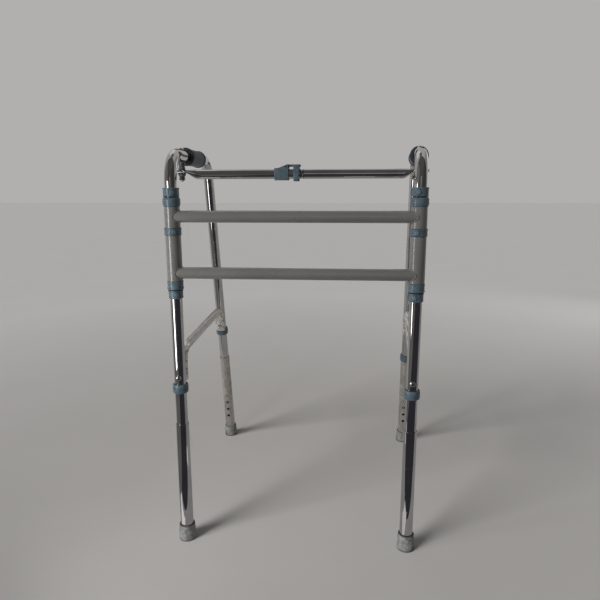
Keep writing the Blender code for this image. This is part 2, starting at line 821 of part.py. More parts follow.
def main():
    hinges = {}
    for side in (LEFT, RIGHT):
        place = (SIGN[side] * LEG_SPACING / 2, 0, 0)
        hinges[side] = make_empty(f"{side}_hinge", place, (0, 0, -SIGN[side] * OPEN_ANGLE[side]))
    build_crossbar("upper_crossbar", UPPER_BAR_HEIGHT, UPPER_SLEEVE, hinges)
    build_crossbar("lower_crossbar", LOWER_BAR_HEIGHT, LOWER_SLEEVE, hinges)
    for side, hinge in hinges.items():
        build_bush(side, "upper", hinge.location)
        build_bush(side, "lower", hinge.location)
        build_side(side, hinge)
        lean = OPEN_ANGLE[side]
        reach = LEG_SPACING / 2 + PIVOT_REACH * math.sin(lean)
        turn = 0.0 if side == LEFT else math.pi
        spot = (SIGN[side] * reach, PIVOT_REACH * math.cos(lean), TOP_BAR_HEIGHT)
        pivot = make_empty(f"{side}_bar_pivot", spot, (0, 0, turn))
        build_top_bar(side, pivot, reach - SIGN[side] * SEAM_X - SEAM_GAP / 2)
        if side == LEFT:
            build_lock(pivot)


main()
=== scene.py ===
"""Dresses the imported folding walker: chrome side tubes, painted crossbars, grips, lock, legs and feet.

All sizes are in metres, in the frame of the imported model: Z is up, Y runs from the crossbars back to
the rear legs and X runs from the side that carries the lock to the other side.
"""

from __future__ import annotations

import json
import logging
import math
from dataclasses import dataclass, field
from enum import Enum
from typing import Iterable, Sequence

import bmesh
import bpy
from mathutils import Matrix, Vector

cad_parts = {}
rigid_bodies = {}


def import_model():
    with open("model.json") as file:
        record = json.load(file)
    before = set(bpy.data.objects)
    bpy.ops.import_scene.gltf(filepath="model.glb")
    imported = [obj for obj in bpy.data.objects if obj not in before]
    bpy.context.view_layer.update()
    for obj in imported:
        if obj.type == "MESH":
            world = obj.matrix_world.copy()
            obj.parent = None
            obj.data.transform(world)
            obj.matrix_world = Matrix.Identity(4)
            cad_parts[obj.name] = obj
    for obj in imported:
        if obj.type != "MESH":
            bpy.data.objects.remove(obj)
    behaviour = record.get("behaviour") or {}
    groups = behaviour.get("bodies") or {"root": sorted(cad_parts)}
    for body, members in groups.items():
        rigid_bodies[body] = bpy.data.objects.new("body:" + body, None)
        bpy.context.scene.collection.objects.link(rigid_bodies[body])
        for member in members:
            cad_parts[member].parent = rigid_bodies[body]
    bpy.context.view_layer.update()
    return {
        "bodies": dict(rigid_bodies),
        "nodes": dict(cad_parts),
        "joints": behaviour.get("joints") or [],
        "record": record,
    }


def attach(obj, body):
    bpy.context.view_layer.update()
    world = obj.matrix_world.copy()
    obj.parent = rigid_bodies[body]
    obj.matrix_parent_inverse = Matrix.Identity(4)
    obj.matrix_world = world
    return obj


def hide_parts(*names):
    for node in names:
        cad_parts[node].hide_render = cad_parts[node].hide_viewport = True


LOG = logging.getLogger("walker")

FRONT_CENTRE = Vector((-0.019537, -0.267746, 0.0))
LEG_SPACING = 0.495
LEG_REACH = 0.535
REAR_LEAN = math.radians(13.8)
HANDLE_HEIGHT = 0.854
LEG_RADIUS = 0.0127
TOP_BAR_HEIGHT = 0.8153
PIVOT_REACH = 0.0874
PIVOT_BORE = 0.0031
SHANK_RADIUS = 0.0029
CLEARANCE = 0.0003
SMOOTH_ANGLE = math.radians(32)
BEVEL_ANGLE = math.radians(40)

Point = tuple[float, float]
Corner = tuple[float, float, float]
Colour = tuple[float, float, float, float]
Socket = bpy.types.NodeSocket
Shape = bmesh.types.BMesh


class Side(Enum):
    """The two side frames, by the word that their nodes start with."""

    LEFT = "left"
    RIGHT = "right"

    @property
    def sign(self) -> int:
        """Which way this side lies along X."""
        return -1 if self is Side.LEFT else 1

    @property
    def open_angle(self) -> float:
        """How far the rear of this side stands outwards."""
        return math.radians(1.0 if self is Side.LEFT else 5.2)

    @property
    def frame(self) -> Matrix:
        """The side's own frame, on its hinge axis at floor level."""
        place = FRONT_CENTRE + Vector((self.sign * LEG_SPACING / 2, 0, 0))
        return Matrix.Translation(place) @ Matrix.Rotation(-self.sign * self.open_angle, 4, "Z")


class Leg(Enum):
    """The two legs of a side frame."""

    FRONT = "front"
    REAR = "rear"

    @property
    def inward(self) -> int:
        """Which way along the leg's own Y the inside of the side frame lies."""
        return 1 if self is Leg.FRONT else -1

    @property
    def index(self) -> int:
        """This leg's place in a pair of values that differ between the legs."""
        return 0 if self is Leg.FRONT else 1

    def frame(self, side: Side) -> Matrix:
        """The leg's own frame: its axis is Z and its sole is at the origin.

        Args:
            side: the side frame that the leg belongs to.

        Returns:
            The matrix from the leg's frame to the model's.
        """
        if self is Leg.FRONT:
            return side.frame
        return side.frame @ Matrix.Translation((0, LEG_REACH, 0)) @ Matrix.Rotation(REAR_LEAN, 4, "X")


class Slot(Enum):
    """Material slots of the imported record."""

    CHROME = "chrome_steel"
    SATIN = "satin_rail_steel"
    PAINT = "grey_paint"
    PLASTIC = "slate_plastic"
    GRIP = "dark_grip_vinyl"
    RUBBER = "pale_foot_rubber"
    ZINC = "zinc_fastener"
    SPRING = "spring_steel"


# Shader building


class Graph:
    """Adds and links the nodes of one procedural material."""

    def __init__(self, name: str) -> None:
        """Start an empty material with a Principled shader.

        Args:
            name: the material's name.
        """
        self.material = bpy.data.materials.new(name)
        self.material.use_nodes = True
        self.tree = self.material.node_tree
        self.shader = self.tree.nodes["Principled BSDF"]
        self.coordinates = self.tree.nodes.new("ShaderNodeTexCoord").outputs["Object"]

    def add(self, kind: str, **inputs: object) -> bpy.types.Node:
        """Add a node and fill its inputs.

        Args:
            kind: the node type without its ShaderNode prefix.
            **inputs: a value or an output socket for each input, by name with underscores.

        Returns:
            The new node.
        """
        node = self.tree.nodes.new("ShaderNode" + kind)
        for key, value in inputs.items():
            self.feed(node.inputs[key.replace("_", " ")], value)
        return node

    def feed(self, socket: Socket, value: object) -> None:
        """Set an input to a number or colour, or link an output to it.

        Args:
            socket: the input.
            value: what goes in.
        """
        if isinstance(value, Socket):
            self.tree.links.new(value, socket)
        else:
            socket.default_value = value

    def set(self, **inputs: object) -> None:
        """Fill inputs of the Principled shader.

        Args:
            **inputs: a value or an output socket for each input, by name with underscores.
        """
        for key, value in inputs.items():
            self.feed(self.shader.inputs[key.replace("_", " ")], value)

    def stretched(self, scale: Sequence[float]) -> Socket:
        """Object coordinates that are scaled on each axis.

        Args:
            scale: the factor along X, Y and Z.

        Returns:
            The mapped coordinates.
        """
        mapping = self.add("Mapping", Vector=self.coordinates)
        mapping.inputs["Scale"].default_value = scale
        return mapping.outputs["Vector"]

    def noise(
        self, scale: float, detail: float = 4.0, stretch: Sequence[float] = (1, 1, 1), rough: float = 0.55
    ) -> Socket:
        """Fractal noise between 0 and 1.

        Args:
            scale: features per metre.
            detail: octaves.
            stretch: factor on each axis, below 1 to draw features out.
            rough: how strong the finer octaves are.

        Returns:
            The noise value.
        """
        vector = self.coordinates if tuple(stretch) == (1, 1, 1) else self.stretched(stretch)
        node = self.add("TexNoise", Vector=vector, Scale=scale, Detail=detail, Roughness=rough)
        return node.outputs["Fac"]

    def ramp(
        self, value: Socket, low: float, high: float, start: float = 0.0, end: float = 1.0
    ) -> Socket:
        """Map a range of a value to another range, clamped.

        Args:
            value: the input value.
            low: input that gives start.
            high: input that gives end.
            start: output at low.
            end: output at high.

        Returns:
            The mapped value.
        """
        node = self.add("MapRange", Value=value)
        for key, number in (("From Min", low), ("From Max", high), ("To Min", start), ("To Max", end)):
            node.inputs[key].default_value = number
        return node.outputs["Result"]

    def specks(self, scale: float, size: float, share: float) -> Socket:
        """Scattered round specks, 1 inside and 0 outside.

        Args:
            scale: cells per metre.
            size: speck radius as a share of its cell.
            share: share of the cells that hold a speck.

        Returns:
            The mask.
        """
        cell = self.add("TexVoronoi", Vector=self.coordinates, Scale=scale)
        near = self.ramp(cell.outputs["Distance"], size, size * 0.6)
        lot = self.add("SeparateColor", Color=cell.outputs["Color"]).outputs["Red"]
        chosen = self.ramp(lot, share, share - 0.01)
        return self.times(near, chosen)

    def math(self, operation: str, first: object, second: object) -> Socket:
        """Combine two values.

        Args:
            operation: the Math node's operation.
            first: a value or socket.
            second: a value or socket.

        Returns:
            The result.
        """
        node = self.add("Math")
        node.operation = operation
        self.feed(node.inputs[0], first)
        self.feed(node.inputs[1], second)
        return node.outputs[0]

    def times(self, first: object, second: object) -> Socket:
        """The product of two values."""
        return self.math("MULTIPLY", first, second)

    def most(self, first: object, second: object) -> Socket:
        """The larger of two values."""
        return self.math("MAXIMUM", first, second)

    def blend(self, factor: object, first: object, second: object) -> Socket:
        """Mix two colours.

        Args:
            factor: 0 for the first colour, 1 for the second.
            first: a colour or socket.
            second: a colour or socket.

        Returns:
            The mixed colour.
        """
        node = self.add("Mix")
        node.data_type = "RGBA"
        # The colour sockets share their names with the number sockets, so they are reached by position.
        for position, value in ((0, factor), (6, first), (7, second)):
            self.feed(node.inputs[position], value)
        return node.outputs[2]

    def hollow(self, reach: float = 0.02) -> Socket:
        """Painted shade mask from ambient occlusion: 1 inside tubes and deep corners within reach, 0 on open
        surfaces.
        """
        shade = self.add("AmbientOcclusion", Distance=reach)
        return self.ramp(shade.outputs["AO"], 0.40, 0.15)

    def height(self) -> Socket:
        """Height above the floor at rest."""
        return self.add("SeparateXYZ", Vector=self.coordinates).outputs["Z"]

    def bump(self, *layers: tuple[Socket, float]) -> None:
        """Add relief to the shader.

        Args:
            *layers: pairs of a height between 0 and 1 and its depth in metres.
        """
        normal: object = None
        for value, depth in layers:
            node = self.add("Bump", Height=value, Distance=depth, Strength=1.0)
            if normal is not None:
                self.feed(node.inputs["Normal"], normal)
            normal = node.outputs["Normal"]
        self.feed(self.shader.inputs["Normal"], normal)


def colour(red: float, green: float, blue: float) -> Colour:
    """An opaque colour for a shader socket."""
    return (red, green, blue, 1.0)


@dataclass(frozen=True)
class Finish:
    """One procedural finish, which its kinds paint in their own way."""

    name: str

    def material(self) -> bpy.types.Material:
        """Make the finished material.

        Returns:
            The material, with its nodes in place.
        """
        graph = Graph(self.name)
        self.paint(graph)
        return graph.material

    def paint(self, graph: Graph) -> None:
        """Set the shader's sockets.

        Args:
            graph: the new material's nodes.
        """
        raise NotImplementedError(self.name)


@dataclass(frozen=True)
class ChromePlate(Finish):
    """Bright plated steel with a faint haze, fine lengthwise scratches and a few pits."""

    name: str = "chrome_plate"
    bright: Colour = colour(0.64, 0.635, 0.63)
    dull: Colour = colour(0.50, 0.49, 0.475)
    pit: Colour = colour(0.10, 0.07, 0.045)
    roughness: float = 0.035
    haze: float = 0.075

    def paint(self, graph: Graph) -> None:
        """Set the shader's sockets.

        Args:
            graph: the new material's nodes.
        """
        haze = graph.ramp(graph.noise(17, 6), 0.46, 0.78)
        scratches = graph.ramp(graph.noise(1100, 2, stretch=(1, 1, 0.04)), 0.62, 0.74)
        pitted = graph.ramp(graph.noise(23, 2), 0.50, 0.60)
        pits = graph.times(graph.specks(330, size=0.26, share=0.10), pitted)
        plated = graph.blend(haze, self.bright, self.dull)
        graph.set(Base_Color=graph.blend(pits, plated, self.pit))
        graph.set(Metallic=graph.ramp(pits, 0.0, 1.0, 1.0, 0.3))
        worn = graph.ramp(haze, 0.0, 1.0, self.roughness, self.roughness + self.haze)
        graph.set(Roughness=graph.math("ADD", worn, graph.times(scratches, 0.05)))
        graph.bump((graph.noise(46, 2), 0.00005), (scratches, 0.000005), (pits, -0.00010))


@dataclass(frozen=True)
class WeatheredChrome(Finish):
    """Plating that has gone beige and blotchy under dust and surface rust, with painted shade in its bore and
    deep corners.
    """

    name: str = "weathered_chrome"
    plated: Colour = colour(0.62, 0.60, 0.57)
    bloom: Colour = colour(0.345, 0.315, 0.27)
    stain: Colour = colour(0.070, 0.055, 0.040)
    inside: Colour = colour(0.010, 0.010, 0.010)

    def paint(self, graph: Graph) -> None:
        """Set the shader's sockets.

        Args:
            graph: the new material's nodes.
        """
        blotch = graph.ramp(graph.noise(48, 7, stretch=(1, 1, 0.55), rough=0.66), 0.45, 0.62)
        streak = graph.ramp(graph.noise(240, 5, stretch=(1, 1, 0.12)), 0.50, 0.70)
        grit = graph.ramp(graph.noise(420, 6, stretch=(1, 1, 0.6), rough=0.7), 0.56, 0.64)
        patchy = graph.ramp(graph.noise(60, 3), 0.40, 0.54)
        specks = graph.specks(360, size=0.36, share=0.34)
        dots = graph.times(graph.most(specks, grit), patchy)
        cover = graph.most(blotch, graph.times(streak, 0.6))
        skin = graph.blend(graph.times(cover, 0.7), self.plated, self.bloom)
        stained = graph.blend(graph.times(dots, 0.85), skin, self.stain)
        # Painted shade: the inside colour fills the bore and tight corners wherever ambient occlusion finds
        # them.
        graph.set(Base_Color=graph.blend(graph.hollow(), stained, self.inside))
        graph.set(Metallic=graph.ramp(graph.most(cover, dots), 0.0, 1.0, 1.0, 0.35))
        graph.set(Roughness=graph.ramp(cover, 0.0, 1.0, 0.10, 0.46))
        graph.bump((blotch, 0.00005), (dots, -0.00010), (graph.noise(700, 4), 0.00004))


@dataclass(frozen=True)
class SatinTube(Finish):
    """Satin plated rail with lengthwise drawing lines, beige where it is pressed flat."""

    name: str = "satin_rail"
    clean: Colour = colour(0.88, 0.86, 0.83)
    stained: Colour = colour(0.50, 0.465, 0.41)
    line: Colour = colour(0.36, 0.345, 0.325)
    rust: Colour = colour(0.085, 0.065, 0.045)
    roughness: float = 0.26
    pressed: Point = (0.440, 0.424)

    def paint(self, graph: Graph) -> None:
        """Set the shader's sockets.

        Args:
            graph: the new material's nodes.
        """
        lines = graph.noise(190, 4, stretch=(1, 0.010, 1))
        mottle = graph.ramp(graph.noise(70, 7, rough=0.62), 0.42, 0.68)
        ends = graph.ramp(graph.height(), *self.pressed)
        stain = graph.times(mottle, graph.ramp(ends, 0.0, 1.0, 0.28, 1.0))
        patches = graph.ramp(graph.noise(260, 5, rough=0.7), 0.55, 0.62)
        specks = graph.specks(300, size=0.40, share=0.45)
        dots = graph.times(graph.most(specks, patches), ends)
        drawn = graph.blend(graph.ramp(lines, 0.50, 0.57, 0.0, 0.9), self.clean, self.line)
        skin = graph.blend(stain, drawn, self.stained)
        graph.set(Base_Color=graph.blend(graph.times(dots, 0.85), skin, self.rust))
        graph.set(Metallic=graph.ramp(stain, 0.0, 1.0, 0.58, 0.25))
        drag = graph.ramp(lines, 0.35, 0.7, self.roughness, self.roughness + 0.16)
        graph.set(Roughness=graph.math("ADD", drag, graph.times(stain, 0.20)))
        graph.bump((lines, 0.00012), (mottle, 0.00004), (dots, -0.00008))


@dataclass(frozen=True)
class BarPaint(Finish):
    """Semi-gloss warm grey paint with orange peel, rubbed patches and small chips."""

    name: str = "bar_paint"
    coat: Colour = colour(0.148, 0.146, 0.138)
    rubbed: Colour = colour(0.178, 0.175, 0.166)
    bare: Colour = colour(0.085, 0.078, 0.070)
    roughness: float = 0.24

    def paint(self, graph: Graph) -> None:
        """Set the shader's sockets.

        Args:
            graph: the new material's nodes.
        """
        rub = graph.ramp(graph.noise(13, 7, stretch=(0.5, 1, 1), rough=0.6), 0.46, 0.76)
        peel = graph.noise(620, 2)
        edges = graph.ramp(graph.noise(520, 3), 0.42, 0.55)
        chips = graph.times(graph.specks(210, size=0.16, share=0.07), edges)
        coat = graph.blend(graph.times(rub, 0.8), self.coat, self.rubbed)
        flecks = graph.ramp(graph.noise(2400, 2), 0.60, 0.80, 0.0, 0.22)
        speckled = graph.blend(flecks, coat, self.rubbed)
        graph.set(Base_Color=graph.blend(graph.times(chips, 0.7), speckled, self.bare))
        graph.set(Roughness=graph.ramp(rub, 0.0, 1.0, self.roughness, self.roughness + 0.14))
        graph.set(Specular_IOR_Level=0.6, Coat_Weight=0.75, Coat_Roughness=0.08)
        graph.bump((peel, 0.00003), (graph.noise(40, 3), 0.00010), (chips, -0.00010))


@dataclass(frozen=True)
class MouldedPlastic(Finish):
    """Slate moulded plastic with a fine grain, pale scuffs, random dirt, and painted shade along the joints
    between collar and bush.
    """

    name: str = "slate_moulding"
    body: Colour = colour(0.072, 0.110, 0.136)
    scuffed: Colour = colour(0.180, 0.232, 0.262)
    grime_and_seam_shade: Colour = colour(0.028, 0.034, 0.040)
    roughness: float = 0.27
    scuffing: float = 0.5
    shaded_seams: Point = (0.7689, 0.5794)
    seam_shade_fade: Point = (0.0021, 0.0012)

    def paint(self, graph: Graph) -> None:
        """Set the shader's sockets.

        Args:
            graph: the new material's nodes.
        """
        cloud = graph.ramp(graph.noise(90, 6), 0.38, 0.70)
        scuff = graph.ramp(graph.noise(330, 7, rough=0.72), 0.56, 0.72)
        dirt = graph.ramp(graph.noise(150, 5), 0.52, 0.74)
        body = graph.blend(graph.times(cloud, 0.30), self.body, self.scuffed)
        marked = graph.blend(graph.times(scuff, self.scuffing), body, self.scuffed)
        # Painted shade: a line of shade along each joint where a collar meets its bush, mixed with random
        # dirt spots.
        lines: object = 0.0
        for seam in self.shaded_seams:
            away = graph.math("ABSOLUTE", graph.math("SUBTRACT", graph.height(), seam), 0.0)
            lines = graph.most(graph.ramp(away, *self.seam_shade_fade), lines)
        low = graph.most(graph.times(dirt, 0.55), graph.times(lines, 0.95))
        graph.set(Base_Color=graph.blend(low, marked, self.grime_and_seam_shade))
        graph.set(Roughness=graph.ramp(scuff, 0.0, 1.0, self.roughness, self.roughness + 0.28))
        graph.set(Specular_IOR_Level=0.5)
        graph.bump((graph.noise(1500, 2), 0.00004), (scuff, 0.00003))


@dataclass(frozen=True)
class GripVinyl(Finish):
    """Dark soft vinyl with a pebbled grain, worn paler where the palm rests and black at its ends."""

    name: str = "grip_vinyl"
    body: Colour = colour(0.070, 0.080, 0.100)
    worn: Colour = colour(0.135, 0.150, 0.180)
    ends: Colour = colour(0.034, 0.040, 0.050)
    end_lines: Point = (-0.1425, -0.0428)
    end_fade: float = 0.0008
    palm: Point = (0.852, 0.873)
    roughness: float = 0.46

    def paint(self, graph: Graph) -> None:
        """Set the shader's sockets.

        Args:
            graph: the new material's nodes.
        """
        palm = graph.ramp(graph.height(), *self.palm)
        cloud = graph.ramp(graph.noise(60, 6), 0.36, 0.70)
        wear = graph.times(cloud, graph.ramp(palm, 0.0, 1.0, 0.40, 1.0))
        pebble = graph.add("TexVoronoi", Vector=graph.coordinates, Scale=1100.0).outputs["Distance"]
        along = graph.add("SeparateXYZ", Vector=graph.coordinates).outputs["Y"]
        front, rear = self.end_lines
        front_tip = graph.ramp(along, front + self.end_fade, front)
        tips = graph.most(front_tip, graph.ramp(along, rear, rear + self.end_fade))
        vinyl = graph.blend(wear, self.body, self.worn)
        graph.set(Base_Color=graph.blend(graph.times(tips, 0.92), vinyl, self.ends))
        graph.set(Roughness=graph.ramp(wear, 0.0, 1.0, self.roughness + 0.14, self.roughness))
        graph.set(Specular_IOR_Level=0.45, Sheen_Weight=0.08, Sheen_Roughness=0.5)
        graph.bump((pebble, 0.00012), (graph.noise(240, 3), 0.00010))


@dataclass(frozen=True)
class FootRubber(Finish):
    """Light grey rubber, dusty and scuffed, with a deep grey band round its lip and painted contact shadow
    where it meets the floor.
    """

    name: str = "foot_rubber"
    body: Colour = colour(0.205, 0.218, 0.215)
    dust: Colour = colour(0.400, 0.400, 0.375)
    soil_and_contact_shade: Colour = colour(0.050, 0.050, 0.048)
    lip: Point = (0.0340, 0.0362)
    # Height band of the painted contact shadow at the floor.
    sole: Point = (0.0042, 0.0012)
    roughness: float = 0.66

    def paint(self, graph: Graph) -> None:
        """Set the shader's sockets.

        Args:
            graph: the new material's nodes.
        """
        height = graph.height()
        lip_band_and_contact_shade = graph.most(graph.ramp(height, *self.lip), graph.ramp(height, *self.sole))
        cloud = graph.ramp(graph.noise(120, 7, rough=0.62), 0.38, 0.64)
        marks = graph.ramp(graph.noise(380, 6, stretch=(1, 1, 0.45), rough=0.66), 0.56, 0.70)
        smears = graph.ramp(graph.noise(62, 6, rough=0.6), 0.54, 0.66)
        body = graph.blend(cloud, self.body, self.dust)
        soil = graph.times(graph.most(marks, smears), 0.78)
        soiled = graph.blend(soil, body, self.soil_and_contact_shade)
        # Painted contact shadow: the sole band goes deep grey just above the floor; the lip band is a deep
        # grey ring round the top.
        patchy = graph.times(lip_band_and_contact_shade, graph.ramp(graph.noise(300, 4), 0.25, 0.55, 0.55, 0.95))
        graph.set(Base_Color=graph.blend(patchy, soiled, self.soil_and_contact_shade))
        graph.set(Roughness=graph.ramp(cloud, 0.0, 1.0, self.roughness, self.roughness + 0.2))
        graph.set(Specular_IOR_Level=0.4)
        graph.bump((graph.noise(900, 4), 0.00012), (marks, -0.00010), (smears, -0.00008))


@dataclass(frozen=True)
class ZincPlate(Finish):
    """Zinc plated fastener with a dull bloom."""

    name: str = "zinc_plate"
    bright: Colour = colour(0.62, 0.62, 0.61)
    bloom: Colour = colour(0.36, 0.35, 0.33)
    roughness: float = 0.12

    def paint(self, graph: Graph) -> None:
        """Set the shader's sockets.

        Args:
            graph: the new material's nodes.
        """
        bloom = graph.ramp(graph.noise(320, 6), 0.48, 0.72)
        graph.set(Base_Color=graph.blend(bloom, self.bright, self.bloom), Metallic=1.0)
        graph.set(Roughness=graph.ramp(bloom, 0.0, 1.0, self.roughness, self.roughness + 0.22))
        graph.bump((graph.noise(800, 3), 0.00003))


class Tone(Enum):
    """Finishes that differ from the usual one of their slot."""

    WEATHERED = "weathered_chrome"
    DARK_ZINC = "dark_zinc"
    LOCK = "lock_moulding"
    PIVOT = "pivot_moulding"
    CAP = "screw_cap"


class Finishes:
    """Makes each material once and hands it out by slot or by tone."""

    def __init__(self) -> None:
        """Build all of the walker's materials."""
        spring_strip = ZincPlate("spring_strip", colour(0.30, 0.30, 0.31), colour(0.17, 0.165, 0.16), 0.30)
        dark_zinc = ZincPlate(Tone.DARK_ZINC.value, colour(0.34, 0.345, 0.35), colour(0.15, 0.15, 0.15), 0.30)
        pivot = MouldedPlastic(Tone.PIVOT.value, colour(0.058, 0.068, 0.076), colour(0.15, 0.17, 0.18))
        slots: dict[Slot, Finish] = {
            Slot.CHROME: ChromePlate(),
            Slot.SATIN: SatinTube(),
            Slot.PAINT: BarPaint(),
            Slot.PLASTIC: MouldedPlastic(),
            Slot.GRIP: GripVinyl(),
            Slot.RUBBER: FootRubber(),
            Slot.ZINC: ZincPlate(),
            Slot.SPRING: spring_strip,
        }
        tones: dict[Tone, Finish] = {
            Tone.WEATHERED: WeatheredChrome(),
            Tone.DARK_ZINC: dark_zinc,
            Tone.LOCK: MouldedPlastic(Tone.LOCK.value, colour(0.072, 0.105, 0.130), scuffing=0.6),
            Tone.PIVOT: pivot,
            Tone.CAP: MouldedPlastic(Tone.CAP.value, colour(0.125, 0.165, 0.185), scuffing=0.3),
        }
        self.by_slot = {slot: finish.material() for slot, finish in slots.items()}
        self.by_tone = {tone: finish.material() for tone, finish in tones.items()}


# Mesh building


def rounded(corners: Sequence[Corner], closed: bool = True, steps: int = 3) -> list[Point]:
    """Round the corners of a profile.

    Args:
        corners: radius, height and rounding of each corner, in order.
        closed: whether the profile ends where it starts.
        steps: points on each arc, less one.

    Returns:
        The profile's points.
    """
    points: list[Point] = []
    count = len(corners)
    for index, (radius, height, fillet) in enumerate(corners):
        here = Vector((radius, height))
        if fillet <= 0 or (not closed and index in (0, count - 1)):
            points.append((radius, height))
            continue
        before = Vector(corners[index - 1][:2]) - here
        after = Vector(corners[(index + 1) % count][:2]) - here
        half = before.angle(after) / 2
        reach = min(fillet / math.tan(half), before.length * 0.49, after.length * 0.49)
        first, last = here + before.normalized() * reach, here + after.normalized() * reach
        for step in range(steps + 1):
            part = step / steps
            spot = first * (1 - part) ** 2 + here * 2 * part * (1 - part) + last * part**2
            points.append((spot.x, spot.y))
    return points


def mesh_from(name: str, bm: Shape, place: Matrix | None = None) -> bpy.types.Mesh:
    """Turn a bmesh into a smooth-shaded mesh with its sharp edges kept.

    Args:
        name: the mesh's name.
        bm: the shape, which is freed.
        place: a matrix to move the shape by.

    Returns:
        The mesh.
    """
    if place is not None:
        bm.transform(place)
    bmesh.ops.recalc_face_normals(bm, faces=bm.faces)
    mesh = bpy.data.meshes.new(name)
    bm.to_mesh(mesh)
    bm.free()
    mesh.shade_smooth()
    mesh.set_sharp_from_angle(angle=SMOOTH_ANGLE)
    return mesh


def revolve(profile: Sequence[Point], closed: bool = True, steps: int = 48) -> Shape:
    """Turn a profile about Z.

    Args:
        profile: radius and height of each point. Points on the axis are shared.
        closed: whether the profile closes on itself, as for a ring.
        steps: points round the circle.

    Returns:
        The turned shape.
    """
    bm = bmesh.new()
    rings: list[list[bmesh.types.BMVert]] = []
    for radius, height in profile:
        if radius < 1e-6:
            rings.append([bm.verts.new((0, 0, height))])
            continue
        turns = (2 * math.pi * step / steps for step in range(steps))
        rings.append([bm.verts.new((radius * math.cos(t), radius * math.sin(t), height)) for t in turns])
    pairs = list(zip(rings, rings[1:]))
    if closed:
        pairs.append((rings[-1], rings[0]))
    for first, second in pairs:
        for step in range(steps):
            after = (step + 1) % steps
            near = (first[step % len(first)], first[after % len(first)])
            far = (second[after % len(second)], second[step % len(second)])
            unique = list(dict.fromkeys(near + far))
            if len(unique) > 2:
                bm.faces.new(unique)
    return bm


def turned(corners: Sequence[Corner], closed: bool = True, steps: int = 48, arc: int = 3) -> Shape:
    """Round a profile's corners and turn it about Z.

    Args:
        corners: radius, height and rounding of each corner, in order.
        closed: whether the profile closes on itself, as for a ring.
        steps: points round the circle.
        arc: points on each rounding, less one.

    Returns:
        The turned shape.
    """
    return revolve(rounded(corners, closed, arc), closed, steps)


def sweep(rings: Sequence[Sequence[Vector]], closed: bool = False) -> Shape:
    """Join rings of equal point count into one skin.

    Args:
        rings: the sections in order.
        closed: whether the last ring joins the first. If not, a face closes each end.

    Returns:
        The swept shape.
    """
    bm = bmesh.new()
    made = [[bm.verts.new(point) for point in ring] for ring in rings]
    pairs = list(zip(made, made[1:]))
    if closed:
        pairs.append((made[-1], made[0]))
    for first, second in pairs:
        for index in range(len(first)):
            after = (index + 1) % len(first)
            bm.faces.new((first[index], first[after], second[after], second[index]))
    if not closed:
        bm.faces.new(made[0])
        bm.faces.new(made[-1])
    return bm


def bent_path(corners: Sequence[Vector], radii: Sequence[float], steps: int = 14) -> list[Vector]:
    """Straight runs joined by arcs.

    Args:
        corners: the ends and the corners between them.
        radii: the bend radius at each inner corner.
        steps: points on each arc, less one.

    Returns:
        The path's points.
    """
    points = [Vector(corners[0])]
    for before, corner, after, radius in zip(corners, corners[1:], corners[2:], radii):
        away = (Vector(before) - Vector(corner)).normalized()
        onward = (Vector(after) - Vector(corner)).normalized()
        half = away.angle(onward) / 2
        centre = Vector(corner) + (away + onward).normalized() * radius / math.sin(half)
        first = Vector(corner) + away * radius / math.tan(half) - centre
        axis = onward.cross(away).normalized()
        for step in range(steps + 1):
            points.append(centre + Matrix.Rotation((math.pi - 2 * half) * step / steps, 3, axis) @ first)
    points.append(Vector(corners[-1]))
    return points


def refined(path: Sequence[Vector], longest: float) -> list[Vector]:
    """Split a path's long runs.

    Args:
        path: the points.
        longest: the longest run to leave.

    Returns:
        The denser path.
    """
    points = [path[0]]
    for start, end in zip(path, path[1:]):
        count = max(1, math.ceil((end - start).length / longest))
        points.extend(start.lerp(end, step / count) for step in range(1, count + 1))
    return points


def pipe(path: Sequence[Vector], outer: float, inner: float, sides: int = 40) -> Shape:
    """A hollow tube along a path in the plane X = 0, with softened lips.

    Args:
        path: the points of its centre line.
        outer: outer radius.
        inner: inner radius.
        sides: points round the tube.

    Returns:
        The tube as one closed skin.
    """
    last = len(path) - 1
    lip = (outer - inner) * 0.35

    def ring(index: int, radius: float, push: float) -> list[Vector]:
        """One section of the tube.

        Args:
            index: the path's point that it stands on.
            radius: its radius.
            push: how far it moves along the path.

        Returns:
            The section's points.
        """
        before, after = path[max(index - 1, 0)], path[min(index + 1, len(path) - 1)]
        along = (after - before).normalized()
        level = Vector((1, 0, 0)).cross(along).normalized()
        centre = path[index] + along * push
        turns = (2 * math.pi * side / sides for side in range(sides))
        return [centre + (Vector((1, 0, 0)) * math.cos(t) + level * math.sin(t)) * radius for t in turns]

    pushes = [lip] + [0.0] * (last - 1) + [-lip]
    rings = [ring(index, outer, pushes[index]) for index in range(last + 1)]
    rings.append(ring(last, outer - lip, 0.0))
    rings.append(ring(last, inner + lip, 0.0))
    rings += [ring(index, inner, pushes[index]) for index in range(last, -1, -1)]
    rings.append(ring(0, inner + lip, 0.0))
    rings.append(ring(0, outer - lip, 0.0))
    return sweep(rings, closed=True)


def rod(
    radius: float,
    start: Sequence[float],
    end: Sequence[float],
    steps: int = 24,
    end_radius: float | None = None,
) -> Shape:
    """A plain round rod between two points.

    Args:
        radius: its radius at the start.
        start: one end.
        end: the other end.
        steps: points round it.
        end_radius: its radius at the end, if that differs.

    Returns:
        The rod.
    """
    along = Vector(end) - Vector(start)
    bm = bmesh.new()
    far = radius if end_radius is None else end_radius
    bmesh.ops.create_cone(bm, cap_ends=True, segments=steps, radius1=radius, radius2=far, depth=along.length)
    turn = Vector((0, 0, 1)).rotation_difference(along).to_matrix().to_4x4()
    bm.transform(Matrix.Translation((Vector(start) + Vector(end)) / 2) @ turn)
    return bm


